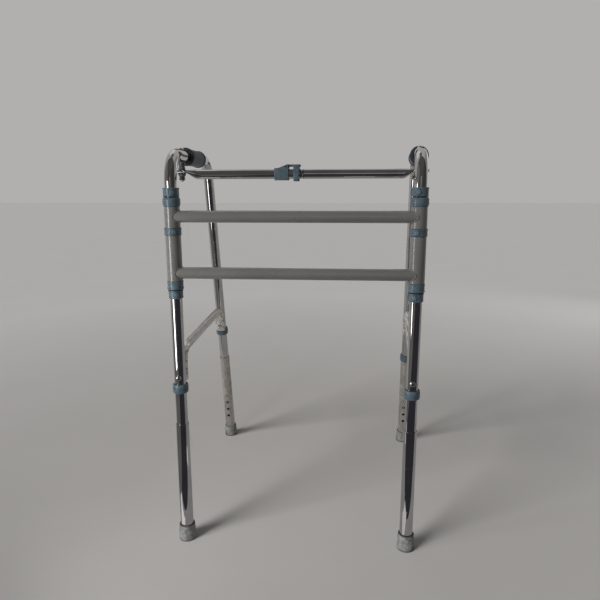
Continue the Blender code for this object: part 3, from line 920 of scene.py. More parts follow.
def block(low: Sequence[float], high: Sequence[float]) -> Shape:
    """A box between two corners.

    Args:
        low: the lowest corner.
        high: the highest corner.

    Returns:
        The box.
    """
    bm = bmesh.new()
    bmesh.ops.create_cube(bm, size=1.0)
    low, high = Vector(low), Vector(high)
    bm.transform(Matrix.Translation((low + high) / 2) @ Matrix.Diagonal((*(high - low), 1.0)))
    return bm


def prism(outline: Sequence[Point], low: float, high: float) -> Shape:
    """An outline of (x, z) points drawn out along Y from low to high."""
    rings = [[Vector((x, y, z)) for x, z in outline] for y in (low, high)]
    return sweep(rings)


class Work(Enum):
    """What a tool does to the shape that it is used on."""

    CUT = "DIFFERENCE"
    JOIN = "UNION"
    TRIM = "INTERSECT"


def combined(target: Shape, tools: Iterable[tuple[Shape, Work]], bevel: float = 0.0) -> Shape:
    """Use tools on a shape with exact Booleans, then soften its edges.

    Args:
        target: the shape to work on.
        tools: pairs of a shape and what it does.
        bevel: width of the softened edges, or 0 for none.

    Returns:
        The finished shape.
    """

    def temporary(bm: Shape) -> bpy.types.Object:
        """Link an object for one step of the work.

        Args:
            bm: its shape, which is freed.

        Returns:
            The object.
        """
        mesh = bpy.data.meshes.new("work")
        bmesh.ops.recalc_face_normals(bm, faces=bm.faces)
        bm.to_mesh(mesh)
        bm.free()
        obj = bpy.data.objects.new("work", mesh)
        bpy.context.scene.collection.objects.link(obj)
        return obj

    base = temporary(target)
    helpers = [base]
    for tool, work in tools:
        helper = temporary(tool)
        helpers.append(helper)
        modifier = base.modifiers.new("cut", "BOOLEAN")
        modifier.object, modifier.operation, modifier.solver = helper, work.value, "EXACT"
    if bevel:
        edge = base.modifiers.new("edge", "BEVEL")
        edge.width, edge.segments, edge.limit_method, edge.angle_limit = bevel, 3, "ANGLE", BEVEL_ANGLE
    graph = bpy.context.evaluated_depsgraph_get()
    mesh = bpy.data.meshes.new_from_object(base.evaluated_get(graph))
    for helper in helpers:
        bpy.data.objects.remove(helper, do_unlink=True)
    bm = bmesh.new()
    bm.from_mesh(mesh)
    bpy.data.meshes.remove(mesh)
    return bm


class Dresser:
    """Places finished pieces on their bodies and logs them."""

    def __init__(self, finishes: Finishes, frame: dict) -> None:
        """Keep the materials and find each node's body.

        Args:
            finishes: the materials by slot and by tone.
        """
        self.finishes = finishes
        bodies = frame["record"]["behaviour"]["bodies"]
        self.body_of = {node: body for body, nodes in bodies.items() for node in nodes}

    def place(
        self, name: str, shape: Shape, where: Matrix, node: str, slot: Slot, tone: Tone | None = None
    ) -> None:
        """Make a piece that stands for a node.

        Args:
            name: the piece's name.
            shape: its mesh in its own frame.
            where: from that frame to the model's.
            node: the node it replaces.
            slot: the record's material slot.
            tone: a finish of its own, or None for the slot's usual one.
        """
        piece = bpy.data.objects.new(name, mesh_from(name, shape, where))
        bpy.context.scene.collection.objects.link(piece)
        finish = self.finishes.by_slot[slot] if tone is None else self.finishes.by_tone[tone]
        piece.data.materials.append(finish)
        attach(piece, self.body_of[node])
        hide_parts(node)
        LOG.info("%s stands for %s: %d faces", name, node, len(piece.data.polygons))


# Sub-assemblies


@dataclass
class Crossbars:
    """The two painted bars with their hinge sleeves."""

    radius: float = 0.012
    forward: float = 0.0035
    sleeve: float = 0.0159
    bore: float = 0.0146
    weld: float = 0.0017
    ripple: float = 0.16
    bead_steps: int = 72
    bead_sides: int = 10
    heights: dict[str, float] = field(default_factory=lambda: {"upper": 0.730, "lower": 0.615})
    sleeves: dict[str, Point] = field(
        default_factory=lambda: {"upper": (0.7073, 0.7500), "lower": (0.5983, 0.6917)}
    )

    def build(self, dresser: Dresser) -> None:
        """Make both bars.

        Args:
            dresser: places the pieces.
        """
        for name in ("upper", "lower"):
            shape = self.bar(self.heights[name], self.sleeves[name])
            place = Matrix.Translation(FRONT_CENTRE)
            dresser.place(f"painted_{name}_bar", shape, place, f"{name}_crossbar", Slot.PAINT)

    def bar(self, height: float, span: Point) -> Shape:
        """One bar, its sleeves and the weld round each end.

        Args:
            height: height of the bar's axis.
            span: bottom and top of the sleeves.

        Returns:
            The welded shape.
        """
        half, (low, high) = LEG_SPACING / 2, span
        inner, outer = (self.bore, 0.0004), (self.sleeve, 0.0007)
        corners = [(radius, high, soft) for radius, soft in (inner, outer)]
        corners += [(radius, low, soft) for radius, soft in (outer, inner)]
        bar = rod(self.radius, (-half, -self.forward, height), (half, -self.forward, height), 48)
        bores = [
            (rod(self.bore + 0.0005, (x, 0, low - 0.01), (x, 0, high + 0.01), 48), Work.CUT)
            for x in (-half, half)
        ]
        shape = combined(bar, bores)
        for side in Side:
            ring = turned(corners)
            ring.transform(Matrix.Translation((side.sign * half, 0, 0)))
            self.merge(shape, ring)
            self.merge(shape, self.bead(side, height))
        return shape

    def bead(self, side: Side, height: float) -> Shape:
        """The weld bead where the bar meets a sleeve.

        Args:
            side: which end.
            height: height of the bar's axis.

        Returns:
            A closed bead with faint ripples.
        """
        rings = []
        for step in range(self.bead_steps):
            turn = 2 * math.pi * step / self.bead_steps
            out_y, out_z = math.cos(turn), math.sin(turn)
            y = -self.forward + self.radius * out_y
            inset = math.sqrt(max(self.sleeve**2 - y * y, 0.0))
            centre = Vector((side.sign * (LEG_SPACING / 2 - inset), y, height + self.radius * out_z))
            outward = Vector((0, out_y, out_z))
            along = Vector((-side.sign, 0, 0))
            swell = self.weld * (1.0 + self.ripple * math.sin(step * 2 * math.pi / 4))
            turns = (2 * math.pi * k / self.bead_sides for k in range(self.bead_sides))
            rings.append([centre + (outward * math.cos(a) + along * math.sin(a)) * swell for a in turns])
        return sweep(rings, closed=True)

    @staticmethod
    def merge(target: Shape, extra: Shape) -> None:
        """Add one shape's faces to another.

        Args:
            target: the shape that takes the faces.
            extra: the shape that gives them, which is freed.
        """
        mesh = bpy.data.meshes.new("part")
        bmesh.ops.recalc_face_normals(extra, faces=extra.faces)
        extra.to_mesh(mesh)
        extra.free()
        target.from_mesh(mesh)
        bpy.data.meshes.remove(mesh)


@dataclass
class HingeStack:
    """Bushes, collars and collar screws on one front leg."""

    side: Side
    running: float = 0.0131
    spigot: float = 0.0142
    upper_seat: float = 0.7503
    lower_seat: float = 0.5980
    bush_height: float = 0.0185
    spigot_length: float = 0.014
    flanges: Point = (0.0178, 0.0172)
    waist: float = 0.0007
    boss: Point = (0.0062, 0.0054)
    boss_rise: float = 0.0008
    screw_bore: float = 0.0022
    screw_turn: float = 0.30
    slot_half: Point = (0.0018, 0.0003)
    collars: dict[str, Corner] = field(
        default_factory=lambda: {
            "top": (0.7690, 0.7870, 0.0167),
            "middle": (0.6920, 0.7070, 0.0178),
            "bottom": (0.5610, 0.5792, 0.0155),
        }
    )

    def build(self, dresser: Dresser) -> None:
        """Make the stack.

        Args:
            dresser: places the pieces.
        """
        word = self.side.value
        still = Matrix.Translation(FRONT_CENTRE + Vector((self.side.sign * LEG_SPACING / 2, 0, 0)))
        for end, bush in (("upper", self.upper_bush()), ("lower", self.lower_bush())):
            node = f"{word}_{end}_bush"
            dresser.place(f"moulded_{node}", bush, still, node, Slot.PLASTIC)
        for place in self.collars:
            self.collar(dresser, place)

    def upper_bush(self) -> Shape:
        """Make the bush on top of the upper sleeve.

        Returns:
            The bush, about the leg's axis.
        """
        seat, top, flange = self.upper_seat, self.upper_seat + self.bush_height, self.flanges[0]
        return turned(
            [
                (self.running, top, 0.0005),
                (flange - 0.0028, top, 0.0006),
                (flange - 0.0010, top - 0.0022, 0.0008),
                (flange - 0.0001, top - 0.0044, 0.0009),
                (flange, (seat + top) / 2 - 0.001, 0),
                (flange - 0.0002, seat + 0.0036, 0.0007),
                (flange - 0.0010, seat + 0.0028, 0.0005),
                (flange - 0.0012, seat, 0.0007),
                (self.spigot, seat, 0),
                (self.spigot, seat - self.spigot_length, 0.0004),
                (self.running, seat - self.spigot_length, 0.0003),
            ]
        )

    def lower_bush(self) -> Shape:
        """Make the bush under the lower sleeve.

        Returns:
            The bush, about the leg's axis.
        """
        seat, low, flange = self.lower_seat, self.lower_seat - self.bush_height, self.flanges[1]
        return turned(
            [
                (self.running, seat + self.spigot_length, 0.0003),
                (self.spigot, seat + self.spigot_length, 0.0004),
                (self.spigot, seat, 0),
                (flange - 0.0006, seat, 0.0008),
                (flange - 0.0004, seat - 0.0030, 0.0006),
                (flange - 0.0009, seat - 0.0040, 0.0005),
                (flange - 0.0009, low + 0.0052, 0.0005),
                (flange, low + 0.0044, 0.0008),
                (flange - 0.0002, low + 0.0016, 0.0008),
                (flange - 0.0022, low, 0.0008),
                (self.running, low, 0.0005),
            ]
        )

    def collar(self, dresser: Dresser, place: str) -> None:
        """One collar with its raised boss, and the screw in it.

        Args:
            dresser: places the pieces.
            place: top, middle or bottom.
        """
        word = self.side.value
        low, high, outer = self.collars[place]
        waist = outer - self.waist
        ring = turned(
            [
                (self.running, high, 0.0005),
                (outer - 0.0001, high, 0.0009),
                (outer, high - 0.0026, 0.0008),
                (waist, high - 0.0036, 0.0006),
                (waist, low + 0.0034, 0.0006),
                (outer - 0.0001, low + 0.0024, 0.0007),
                (outer - 0.0012, low, 0.0010),
                (self.running, low, 0.0005),
            ]
        )
        facing = Vector((self.side.sign * -self.screw_turn, -1.0, 0.0)).normalized()
        spot = Vector((0, 0, (low + high) / 2))
        root, face = spot + facing * (outer - 0.0030), spot + facing * (outer + self.boss_rise)
        boss = rod(self.boss[0], root, face, 32, self.boss[1])
        hole = rod(self.screw_bore, spot + facing * 0.010, spot + facing * 0.03, 20)
        shape = combined(ring, [(boss, Work.JOIN), (hole, Work.CUT)])
        node = f"{word}_{place}_collar"
        dresser.place(f"moulded_{node}", shape, self.side.frame, node, Slot.PLASTIC)
        turn = Vector((0, 0, 1)).rotation_difference(facing).to_matrix().to_4x4()
        at_boss = self.side.frame @ (Matrix.Translation(spot) @ turn)
        dresser.place(f"cross_{node}_screw", self.screw(outer), at_boss, f"{node}_screw", Slot.ZINC, Tone.CAP)

    def screw(self, outer: float) -> Shape:
        """A collar screw with a low cross-slotted head, along Z from the leg's axis.

        Args:
            outer: outer radius of its collar.

        Returns:
            The screw.
        """
        profile = [
            (0, outer + 0.0016, 0),
            (0.0020, outer + 0.0015, 0.0012),
            (0.0034, outer + 0.0011, 0.0003),
            (0.0034, outer + 0.0009, 0),
            (0.0016, outer + 0.0009, 0),
            (0.0016, LEG_RADIUS + CLEARANCE, 0),
            (0, LEG_RADIUS + CLEARANCE, 0),
        ]
        depth, top = outer + 0.0012, outer + 0.004
        slots = [
            (block((-wide, -deep, depth), (wide, deep, top)), Work.CUT)
            for wide, deep in (self.slot_half, self.slot_half[::-1])
        ]
        return combined(turned(profile, closed=False, steps=24), slots)


@dataclass
class SideFrame:
    """The bent leg tube, its rail, grip and rail bolts."""

    side: Side
    wall: float = 0.0012
    leg_end: float = 0.116
    bends: Point = (0.055, 0.060)
    rail_radius: float = 0.011
    rail_height: float = 0.443
    rail_gap: float = 0.0006
    rail_bends: Point = (0.032, 0.026)
    rail_ends: Point = (0.3733, 0.3953)
    bolt_heights: Point = (0.3885, 0.412)
    flattened: Point = (0.461, 0.4425)
    flattened_width: float = 1.27
    flattened_depth: float = 0.50
    pivot_bore: float = 0.0033
    longest_runs: Point = (0.06, 0.006)
    grip_start: float = 0.120
    grip_length: float = 0.112
    grip_radius: float = 0.0180
    grip_bore: float = 0.0129
    grip_swell: float = 0.0004
    grip_ridges: int = 24
    ridge: float = 0.00018

    def build(self, dresser: Dresser) -> None:
        """Make the side.

        Args:
            dresser: places the pieces.
        """
        word, place = self.side.value, self.side.frame
        dresser.place(f"chrome_{word}_frame_tube", self.tube(), place, f"{word}_side_tube", Slot.CHROME)
        dresser.place(f"satin_{word}_rail", self.rail(), place, f"{word}_side_rail", Slot.SATIN)
        start = Matrix.Translation((0, self.grip_start, HANDLE_HEIGHT))
        turn = start @ Matrix.Rotation(math.radians(-90), 4, "X")
        dresser.place(f"vinyl_{word}_grip", self.grip(), place @ turn, f"{word}_grip", Slot.GRIP)
        for leg, height in zip(Leg, self.bolt_heights):
            turn = Matrix.Translation((0, 0, height)) @ Matrix.Rotation(math.radians(90) * leg.inward, 4, "X")
            node = f"{word}_{leg.value}_rail_bolt"
            dresser.place(f"dome_{node}", self.bolt(leg), leg.frame(self.side) @ turn, node, Slot.ZINC)

    def tube(self) -> Shape:
        """Bend the front leg, handle and rear leg from one tube.

        Returns:
            The tube, drilled for the pivot bolt.
        """
        lean = math.tan(REAR_LEAN)
        top = Vector((0, LEG_REACH - HANDLE_HEIGHT * lean, HANDLE_HEIGHT))
        foot = Vector((0, LEG_REACH, 0))
        rear_end = foot + (top - foot).normalized() * self.leg_end
        corners = [Vector((0, 0, self.leg_end)), Vector((0, 0, HANDLE_HEIGHT)), top, rear_end]
        path = refined(bent_path(corners, self.bends), self.longest_runs[0])
        body = pipe(path, LEG_RADIUS, LEG_RADIUS - self.wall)
        under, over = ((0, PIVOT_REACH, HANDLE_HEIGHT + reach) for reach in (-0.03, 0.03))
        hole = rod(self.pivot_bore, under, over)
        return combined(body, [(hole, Work.CUT)])

    def rail(self) -> Shape:
        """Bend the rail between the legs and press it flat where it lies on the rear leg.

        Returns:
            The rail.
        """
        offset = LEG_RADIUS + self.rail_radius + self.rail_gap
        lean = Vector((0, -math.sin(REAR_LEAN), math.cos(REAR_LEAN)))
        inward = Vector((0, -math.cos(REAR_LEAN), -math.sin(REAR_LEAN)))
        rear = Vector((0, LEG_REACH, 0)) + inward * offset + lean * self.rail_ends[1]
        corners = [
            Vector((0, offset, self.rail_ends[0])),
            Vector((0, offset, self.rail_height)),
            rear + lean * ((self.rail_height - rear.z) / lean.z),
            rear,
        ]
        path = refined(bent_path(corners, self.rail_bends), self.longest_runs[1])
        rail = pipe(path, self.rail_radius, self.rail_radius - self.wall, 44)
        start, end = self.flattened
        surface = -(LEG_RADIUS + self.rail_gap)
        to_side = Matrix.Translation((0, LEG_REACH, 0)) @ Matrix.Rotation(REAR_LEAN, 4, "X")
        to_leg = to_side.inverted()
        for vert in rail.verts:
            spot = to_leg @ vert.co
            part = min(max((start - spot.z) / (start - end), 0.0), 1.0)
            part = part * part * (3 - 2 * part)
            spot.x *= 1 + (self.flattened_width - 1) * part
            spot.y = surface + (spot.y - surface) * (1 + (self.flattened_depth - 1) * part)
            vert.co = to_side @ spot
        return rail

    def grip(self) -> Shape:
        """Mould the grip with its end flanges, shallow swell and fine ridges.

        Returns:
            The grip, along Z from its front end.
        """
        end, bore, radius = self.grip_length, self.grip_bore, self.grip_radius
        flange = [(0.0196, 0.0, 0.0010), (0.0199, 0.0022, 0.0010), (0.0197, 0.0046, 0.0012)]
        flange.append((radius, 0.0072, 0.0012))
        corners = [(bore, end, 0.0004)] + [(reach, end - height, soft) for reach, height, soft in flange]
        swell = 16
        for step in range(swell + 1):
            part = step / swell
            height = end - 0.0085 - (end - 0.017) * part
            corners.append((radius + self.grip_swell * math.sin(math.pi * part), height, 0))
        corners += list(reversed(flange)) + [(bore, 0.0, 0.0004)]
        bm = turned(corners, steps=72)
        # The ridges run only on the outer skin between the flanges.
        for vert in bm.verts:
            reach = math.hypot(vert.co.x, vert.co.y)
            if 0.0175 < reach < 0.0186 and 0.010 < vert.co.z < end - 0.010:
                angle = self.grip_ridges * math.atan2(vert.co.y, vert.co.x)
                ridge = self.ridge * math.cos(angle) - 0.0002
                vert.co.x *= 1 + ridge / reach
                vert.co.y *= 1 + ridge / reach
        return bm

    def bolt(self, leg: Leg) -> Shape:
        """A domed bolt that holds the rail to a leg.

        Args:
            leg: the front leg's bolt ends in a cap nut, the rear leg's in a low rivet end.

        Returns:
            The bolt, along Z from the leg's axis.
        """
        head = LEG_RADIUS + CLEARANCE
        depth = 2 * self.rail_radius * (self.flattened_depth if leg is Leg.REAR else 1.0)
        far = -(LEG_RADIUS + self.rail_gap + depth + CLEARANCE)
        dome = [(0, head + 0.0045, 0), (0.0034, head + 0.0038, 0.003), (0.0056, head + 0.0020, 0.002)]
        dome += [(0.0063, head, 0.0004), (SHANK_RADIUS, head, 0), (SHANK_RADIUS, far, 0)]
        if leg is Leg.FRONT:
            dome += [(0.0050, far, 0.0004), (0.0050, far - 0.0032, 0.0008), (0.0030, far - 0.0049, 0.0015)]
            dome.append((0, far - 0.0054, 0))
        else:
            dome += [(0.0045, far, 0.0002), (0.0036, far - 0.0009, 0.0008), (0, far - 0.0013, 0)]
        return turned(dome, closed=False, steps=36, arc=5)


@dataclass
class LegSet:
    """One leg's guard ring, extension tube, foot and snap clip."""

    side: Side
    leg: Leg
    bore: float = 0.0131
    tube_radius: float = 0.0143
    tube_tops: Point = (0.281, 0.296)
    ring_bottoms: Point = (0.3535, 0.3755)
    ring_height: float = 0.019
    tube_bottom: float = 0.0105
    foot_height: float = 0.037
    button: float = 0.1335
    pitch: float = 0.0254
    hole: float = 0.0043
    hole_steps: tuple[int, ...] = (-2, -1, 0, 1)

    @property
    def tube_top(self) -> float:
        """Upper end of this leg's extension tube."""
        return self.tube_tops[self.leg.index]

    def build(self, dresser: Dresser) -> None:
        """Make the leg's lower parts.

        Args:
            dresser: places the pieces.
        """
        stem = f"{self.side.value}_{self.leg.value}"
        place = self.leg.frame(self.side)
        dresser.place(f"guard_{stem}_ring", self.ring(), place, f"{stem}_leg_ring", Slot.PLASTIC)
        tone = Tone.WEATHERED if self.leg is Leg.REAR else None
        tube = self.extension()
        dresser.place(f"chrome_{stem}_extension", tube, place, f"{stem}_extension", Slot.CHROME, tone)
        dresser.place(f"rubber_{stem}_foot", self.foot(), place, f"{stem}_foot", Slot.RUBBER)
        dresser.place(f"spring_{stem}_button", self.clip(), place, f"{stem}_snap_clip", Slot.SPRING)

    def ring(self) -> Shape:
        """Make the barrel-shaped guard ring. The right rear one has slid down onto its extension.

        Returns:
            The ring.
        """
        slid = self.side is Side.RIGHT and self.leg is Leg.REAR
        low = self.tube_top + CLEARANCE if slid else self.ring_bottoms[self.leg.index]
        high = low + self.ring_height
        return turned(
            [
                (self.bore, high, 0.0005),
                (0.0160, high, 0.0010),
                (0.0170, high - 0.0050, 0.0012),
                (0.0172, (low + high) / 2, 0.001),
                (0.0170, low + 0.0050, 0.0012),
                (0.0162, low, 0.0010),
                (self.bore, low, 0.0005),
            ]
        )

    def extension(self) -> Shape:
        """Make the outer tube with its row of height holes.

        Returns:
            The tube.
        """
        path = refined([Vector((0, 0, self.tube_bottom)), Vector((0, 0, self.tube_top))], 0.05)
        body = pipe(path, self.tube_radius, self.bore, 44)
        holes = []
        for step in self.hole_steps:
            height = self.button + step * self.pitch
            drill = rod(self.hole, (0, 0, height), (0, self.leg.inward * 0.03, height), 28)
            holes.append((drill, Work.CUT))
        return combined(body, holes)

    def foot(self) -> Shape:
        """Mould the flared rubber foot and cut it level where it meets the floor.

        Returns:
            The foot.
        """
        top, seat = self.foot_height, self.tube_bottom - CLEARANCE
        under = -0.008 if self.leg is Leg.REAR else 0.0
        corners = [
            (0, seat, 0),
            (0.0146, seat, 0.0004),
            (0.0146, top, 0.0004),
            (0.0164, top, 0.0008),
            (0.0173, top - 0.0011, 0.0008),
            (0.0174, top - 0.0030, 0.0005),
            (0.0169, top - 0.0036, 0.0004),
            (0.0170, top - 0.0052, 0.0004),
            (0.0176, top - 0.0058, 0.0006),
            (0.0180, top - 0.0100, 0.002),
            (0.0188, 0.0155, 0.003),
            (0.0193, 0.0085, 0.0010),
            (0.0189, 0.0075, 0.0004),
            (0.0189, 0.0066, 0.0004),
            (0.0195, 0.0058, 0.0008),
            (0.0195, under + 0.0016, 0.0010 if self.leg is Leg.FRONT else 0),
            (0.0189, under, 0.0006 if self.leg is Leg.FRONT else 0),
            (0, under, 0),
        ]
        body = turned(corners, closed=False, steps=56)
        if self.leg is Leg.FRONT:
            return body
        ground = block((-0.1, -0.1, -0.1), (0.1, 0.1, 0.0))
        ground.transform(Matrix.Rotation(-REAR_LEAN, 4, "X"))
        return combined(body, [(ground, Work.CUT)])

    def clip(self) -> Shape:
        """Make the domed button on its spring strip inside the leg.

        Returns:
            The button and strip in one.
        """
        facing, height = self.leg.inward, self.button
        near, far = sorted((facing * 0.0084, facing * 0.0092))
        strip = block((-0.0040, near, height - 0.010), (0.0040, far, height + 0.040))
        dome = [(0, 0.0164, 0), (0.0020, 0.0162, 0.001), (0.0033, 0.0146, 0.0012)]
        knob = turned(dome + [(0.0034, 0.0088, 0), (0, 0.0088, 0)], closed=False, steps=28)
        turn = Matrix.Rotation(math.radians(-90) * facing, 4, "X")
        knob.transform(Matrix.Translation((0, 0, height)) @ turn)
        return combined(strip, [(knob, Work.JOIN)])


@dataclass
class BarPivot:
    """Spacer, bolt, washer and nut that carry one end of the top brace."""

    side: Side
    flat_top: float = TOP_BAR_HEIGHT + 0.0090
    flat_bottom: float = TOP_BAR_HEIGHT + 0.0030
    washer: float = 0.0065
    nut: float = 0.0085
    thread_turns: int = 3
    thread_pitch: float = 0.0007

    def build(self, dresser: Dresser) -> None:
        """Make the stack from the handle down.

        Args:
            dresser: places the pieces.
        """
        word = self.side.value
        place = self.side.frame @ Matrix.Translation((0, PIVOT_REACH, 0))
        top = HANDLE_HEIGHT - LEG_RADIUS - CLEARANCE
        low = self.flat_top + CLEARANCE
        outline = [(0.0080, top, 0.0006), (0.0062, (top + low) / 2, 0.004), (0.0080, low, 0.0008)]
        spacer = self.drilled(outline)
        dresser.place(f"moulded_{word}_spacer", spacer, place, f"{word}_bar_spacer", Slot.PLASTIC, Tone.PIVOT)
        high = self.flat_bottom - CLEARANCE
        low = high - self.washer
        outline = [(0.0086, high, 0.0008), (0.0084, high - 0.0030, 0.0008), (0.0066, low, 0.0010)]
        cup = self.drilled(outline)
        dresser.place(f"moulded_{word}_washer", cup, place, f"{word}_pivot_washer", Slot.PLASTIC, Tone.PIVOT)
        nut_top = low - CLEARANCE
        nut_low = nut_top - self.nut
        nut = self.hex_nut(nut_top, nut_low)
        dresser.place(f"hex_{word}_nut", nut, place, f"{word}_pivot_nut", Slot.ZINC, Tone.DARK_ZINC)
        dresser.place(f"dome_{word}_pivot_bolt", self.bolt(nut_low), place, f"{word}_pivot_bolt", Slot.ZINC)

    @staticmethod
    def drilled(outline: list[Corner]) -> Shape:
        """Turn a part that slides over the bolt.

        Args:
            outline: radius, height and rounding of its outer corners, from the top.

        Returns:
            The part with its bore.
        """
        top, low = outline[0][1], outline[-1][1]
        return turned([(PIVOT_BORE, top, 0), *outline, (PIVOT_BORE, low, 0)], steps=40)

    @staticmethod
    def hex_nut(top: float, low: float) -> Shape:
        """A six-sided nut with turned chamfers.

        Args:
            top: height of its upper face.
            low: height of its lower face.

        Returns:
            The nut.
        """
        body = rod(0.0064, (0, 0, low), (0, 0, top), 6)
        upper = [(0, top), (0.0056, top), (0.0066, top - 0.0009)]
        lower = [(0.0066, low + 0.0009), (0.0056, low), (0, low)]
        limit = revolve(upper + lower, closed=False, steps=40)
        hole = rod(PIVOT_BORE, (0, 0, low - 0.01), (0, 0, top + 0.01), 28)
        return combined(body, [(limit, Work.TRIM), (hole, Work.CUT)])

    def bolt(self, nut_low: float) -> Shape:
        """The pivot bolt with its domed head and the end of its thread.

        Args:
            nut_low: height of the nut's lower face.

        Returns:
            The bolt.
        """
        head = HANDLE_HEIGHT + LEG_RADIUS + CLEARANCE
        corners = [(0, head + 0.0040, 0), (0.0045, head + 0.0035, 0.004), (0.0072, head, 0.0006)]
        corners += [(SHANK_RADIUS, head, 0), (SHANK_RADIUS, nut_low, 0)]
        for turn in range(self.thread_turns):
            height = nut_low - 0.0002 - turn * self.thread_pitch
            corners += [(SHANK_RADIUS, height, 0), (0.0026, height - self.thread_pitch / 2, 0)]
        corners += [(0.0024, nut_low - 0.0023, 0), (0, nut_low - 0.0025, 0)]
        return turned(corners, closed=False, steps=36, arc=5)


@dataclass
class TopBrace:
    """The two halves of the top brace and the centre lock."""

    radius: float = 0.010
    bore: float = 0.0088
    flat_centre: float = 0.0060
    flat_half: float = 0.0030
    flat_width: float = 0.0135
    tip: float = 0.020
    tip_round: float = 0.012
    flat_end: float = 0.008
    round_start: float = 0.034
    squareness: float = 0.62
    ring_steps: tuple[int, int, int] = (8, 14, 5)
    seam: float = 0.0105
    seam_gap: float = 0.0010
    nose: float = 0.0041
    pin: Point = (-0.0235, 0.0155)
    lock_ends: Point = (-0.0475, -0.0172)
    lock_heights: Point = (-0.0130, 0.0200)
    lock_half: float = 0.0135
    slot_half: float = 0.0063
    pin_bore: float = 0.0021
    fork_height: float = 0.0042
    fork_half: float = 0.0130
    fork_room: float = 0.0106

    def build(self, dresser: Dresser) -> None:
        """Make both bars, their plugs and the lock.

        Args:
            dresser: places the pieces.
        """
        for side in Side:
            word = side.value
            reach = LEG_SPACING / 2 + PIVOT_REACH * math.sin(side.open_angle)
            spot = Vector((side.sign * reach, PIVOT_REACH * math.cos(side.open_angle), TOP_BAR_HEIGHT))
            turn = Matrix.Rotation(0.0 if side is Side.LEFT else math.pi, 4, "Z")
            place = Matrix.Translation(FRONT_CENTRE + spot) @ turn
            length = reach - side.sign * self.seam - self.seam_gap / 2
            dresser.place(f"chrome_{word}_brace", self.bar(length), place, f"{word}_top_bar", Slot.CHROME)
            turn = place @ Matrix.Rotation(math.radians(90), 4, "Y")
            # The plug takes the darker zinc tone so that the bar's end reads as painted shade in the gap
            # beside the lock, not as a bright chrome face.
            name, node = f"chrome_{word}_brace_end", f"{word}_bar_plug"
            dresser.place(name, self.plug(length), turn, node, Slot.CHROME, Tone.DARK_ZINC)
            if side is Side.LEFT:
                self.lock(dresser, place @ Matrix.Translation((reach, 0, 0)))

    def section(self, reach: float, blend: float, narrow: float = 1.0, count: int = 44) -> list[Vector]:
        """A section of the bar.

        Args:
            reach: distance from the pivot.
            blend: 0 for round, 1 for pressed flat.
            narrow: factor on the width.
            count: points round the section.

        Returns:
            The section's points.
        """
        wide = (self.radius + (self.flat_width - self.radius) * blend) * narrow
        tall = self.radius + (self.flat_half - self.radius) * blend
        power = 1.0 - self.squareness * blend
        points = []
        for index in range(count):
            turn = 2 * math.pi * index / count
            across = math.copysign(abs(math.cos(turn)) ** power, math.cos(turn))
            up = math.copysign(abs(math.sin(turn)) ** power, math.sin(turn))
            points.append(Vector((reach, wide * across, self.flat_centre * blend + tall * up)))
        return points

    def bar(self, length: float) -> Shape:
        """One half of the brace, pressed flat and drilled at its pivot.

        Args:
            length: from the pivot to the end of its plug.

        Returns:
            The bar.
        """
        rings = []
        tip_steps, press_steps, tube_steps = self.ring_steps
        for step in range(tip_steps + 1):
            turn = math.pi / 2 * step / tip_steps
            reach = -self.tip + self.tip_round * (1 - math.cos(turn))
            rings.append(self.section(reach, 1.0, max(math.sin(turn), 0.30)))
        for step in range(1, press_steps + 1):
            part = step / press_steps
            reach = self.flat_end + (self.round_start - self.flat_end) * part
            rings.append(self.section(reach, (1 - part) ** 2 * (1 + 2 * part)))
        end = length - self.nose
        for step in range(1, tube_steps + 1):
            reach = self.round_start + (end - self.round_start) * step / tube_steps
            rings.append(self.section(reach, 0.0))
        holes = [(rod(PIVOT_BORE, (0, 0, -0.02), (0, 0, 0.03), 28), Work.CUT)]
        holes.append((rod(self.bore, (end - 0.02, 0, 0), (end + 0.01, 0, 0), 36), Work.CUT))
        return combined(sweep(rings), holes)

    def plug(self, length: float) -> Shape:
        """The turned plug that closes the bar's end.

        Args:
            length: from the pivot to the plug's tip.

        Returns:
            The plug, along Z.
        """
        base, fit = length - self.nose, self.bore - CLEARANCE
        corners = [
            (0, length, 0),
            (0.0085, length, 0.0006),
            (0.0099, length - 0.0013, 0.0006),
            (0.0099, base + CLEARANCE, 0),
            (fit, base + CLEARANCE, 0),
            (fit, base - 0.012, 0.0006),
            (0, base - 0.012, 0),
        ]
        return turned(corners, closed=False, steps=44)

    def lock(self, dresser: Dresser, place: Matrix) -> None:
        """The housing, its pin and the lever that straddles the bar.

        Args:
            dresser: places the pieces.
            place: from the lock's frame, centred on the brace, to the model's.
        """
        (left, right), (low, top), half = self.lock_ends, self.lock_heights, self.lock_half
        pin_x, pin_z = self.pin
        outline = [(left, low), (right, low), (right, top), (right - 0.0020, top)]
        outline += [(left + 0.0090, 0.0126), (left, 0.0120)]
        slot_low = (pin_x - 0.0055, -self.slot_half, 0.0119)
        slot_high = (right + 0.01, self.slot_half, 0.03)
        cuts = [
            (rod(self.radius + 0.0004, (left - 0.01, 0, 0), (0, 0, 0), 48), Work.CUT),
            (block(slot_low, slot_high), Work.CUT),
            (rod(self.pin_bore, (pin_x, -0.02, pin_z), (pin_x, 0.02, pin_z), 24), Work.CUT),
        ]
        housing = combined(combined(prism(outline, -half, half), [], 0.0014), cuts)
        dresser.place("moulded_lock_housing", housing, place, "lock_body", Slot.PLASTIC, Tone.LOCK)
        end = half - 0.0010
        profile = [(0, end, 0), (0.0018, end, 0.0004), (0.0018, -end, 0.0004), (0, -end, 0)]
        pin = turned(profile, closed=False, steps=24)
        at_pin = place @ Matrix.Translation((pin_x, 0, pin_z))
        turn = at_pin @ Matrix.Rotation(math.radians(90), 4, "X")
        dresser.place("zinc_lock_pin", pin, turn, "lock_pin", Slot.ZINC, Tone.DARK_ZINC)
        dresser.place("moulded_lock_lever", self.lever(), at_pin, "lock_lever", Slot.PLASTIC, Tone.LOCK)

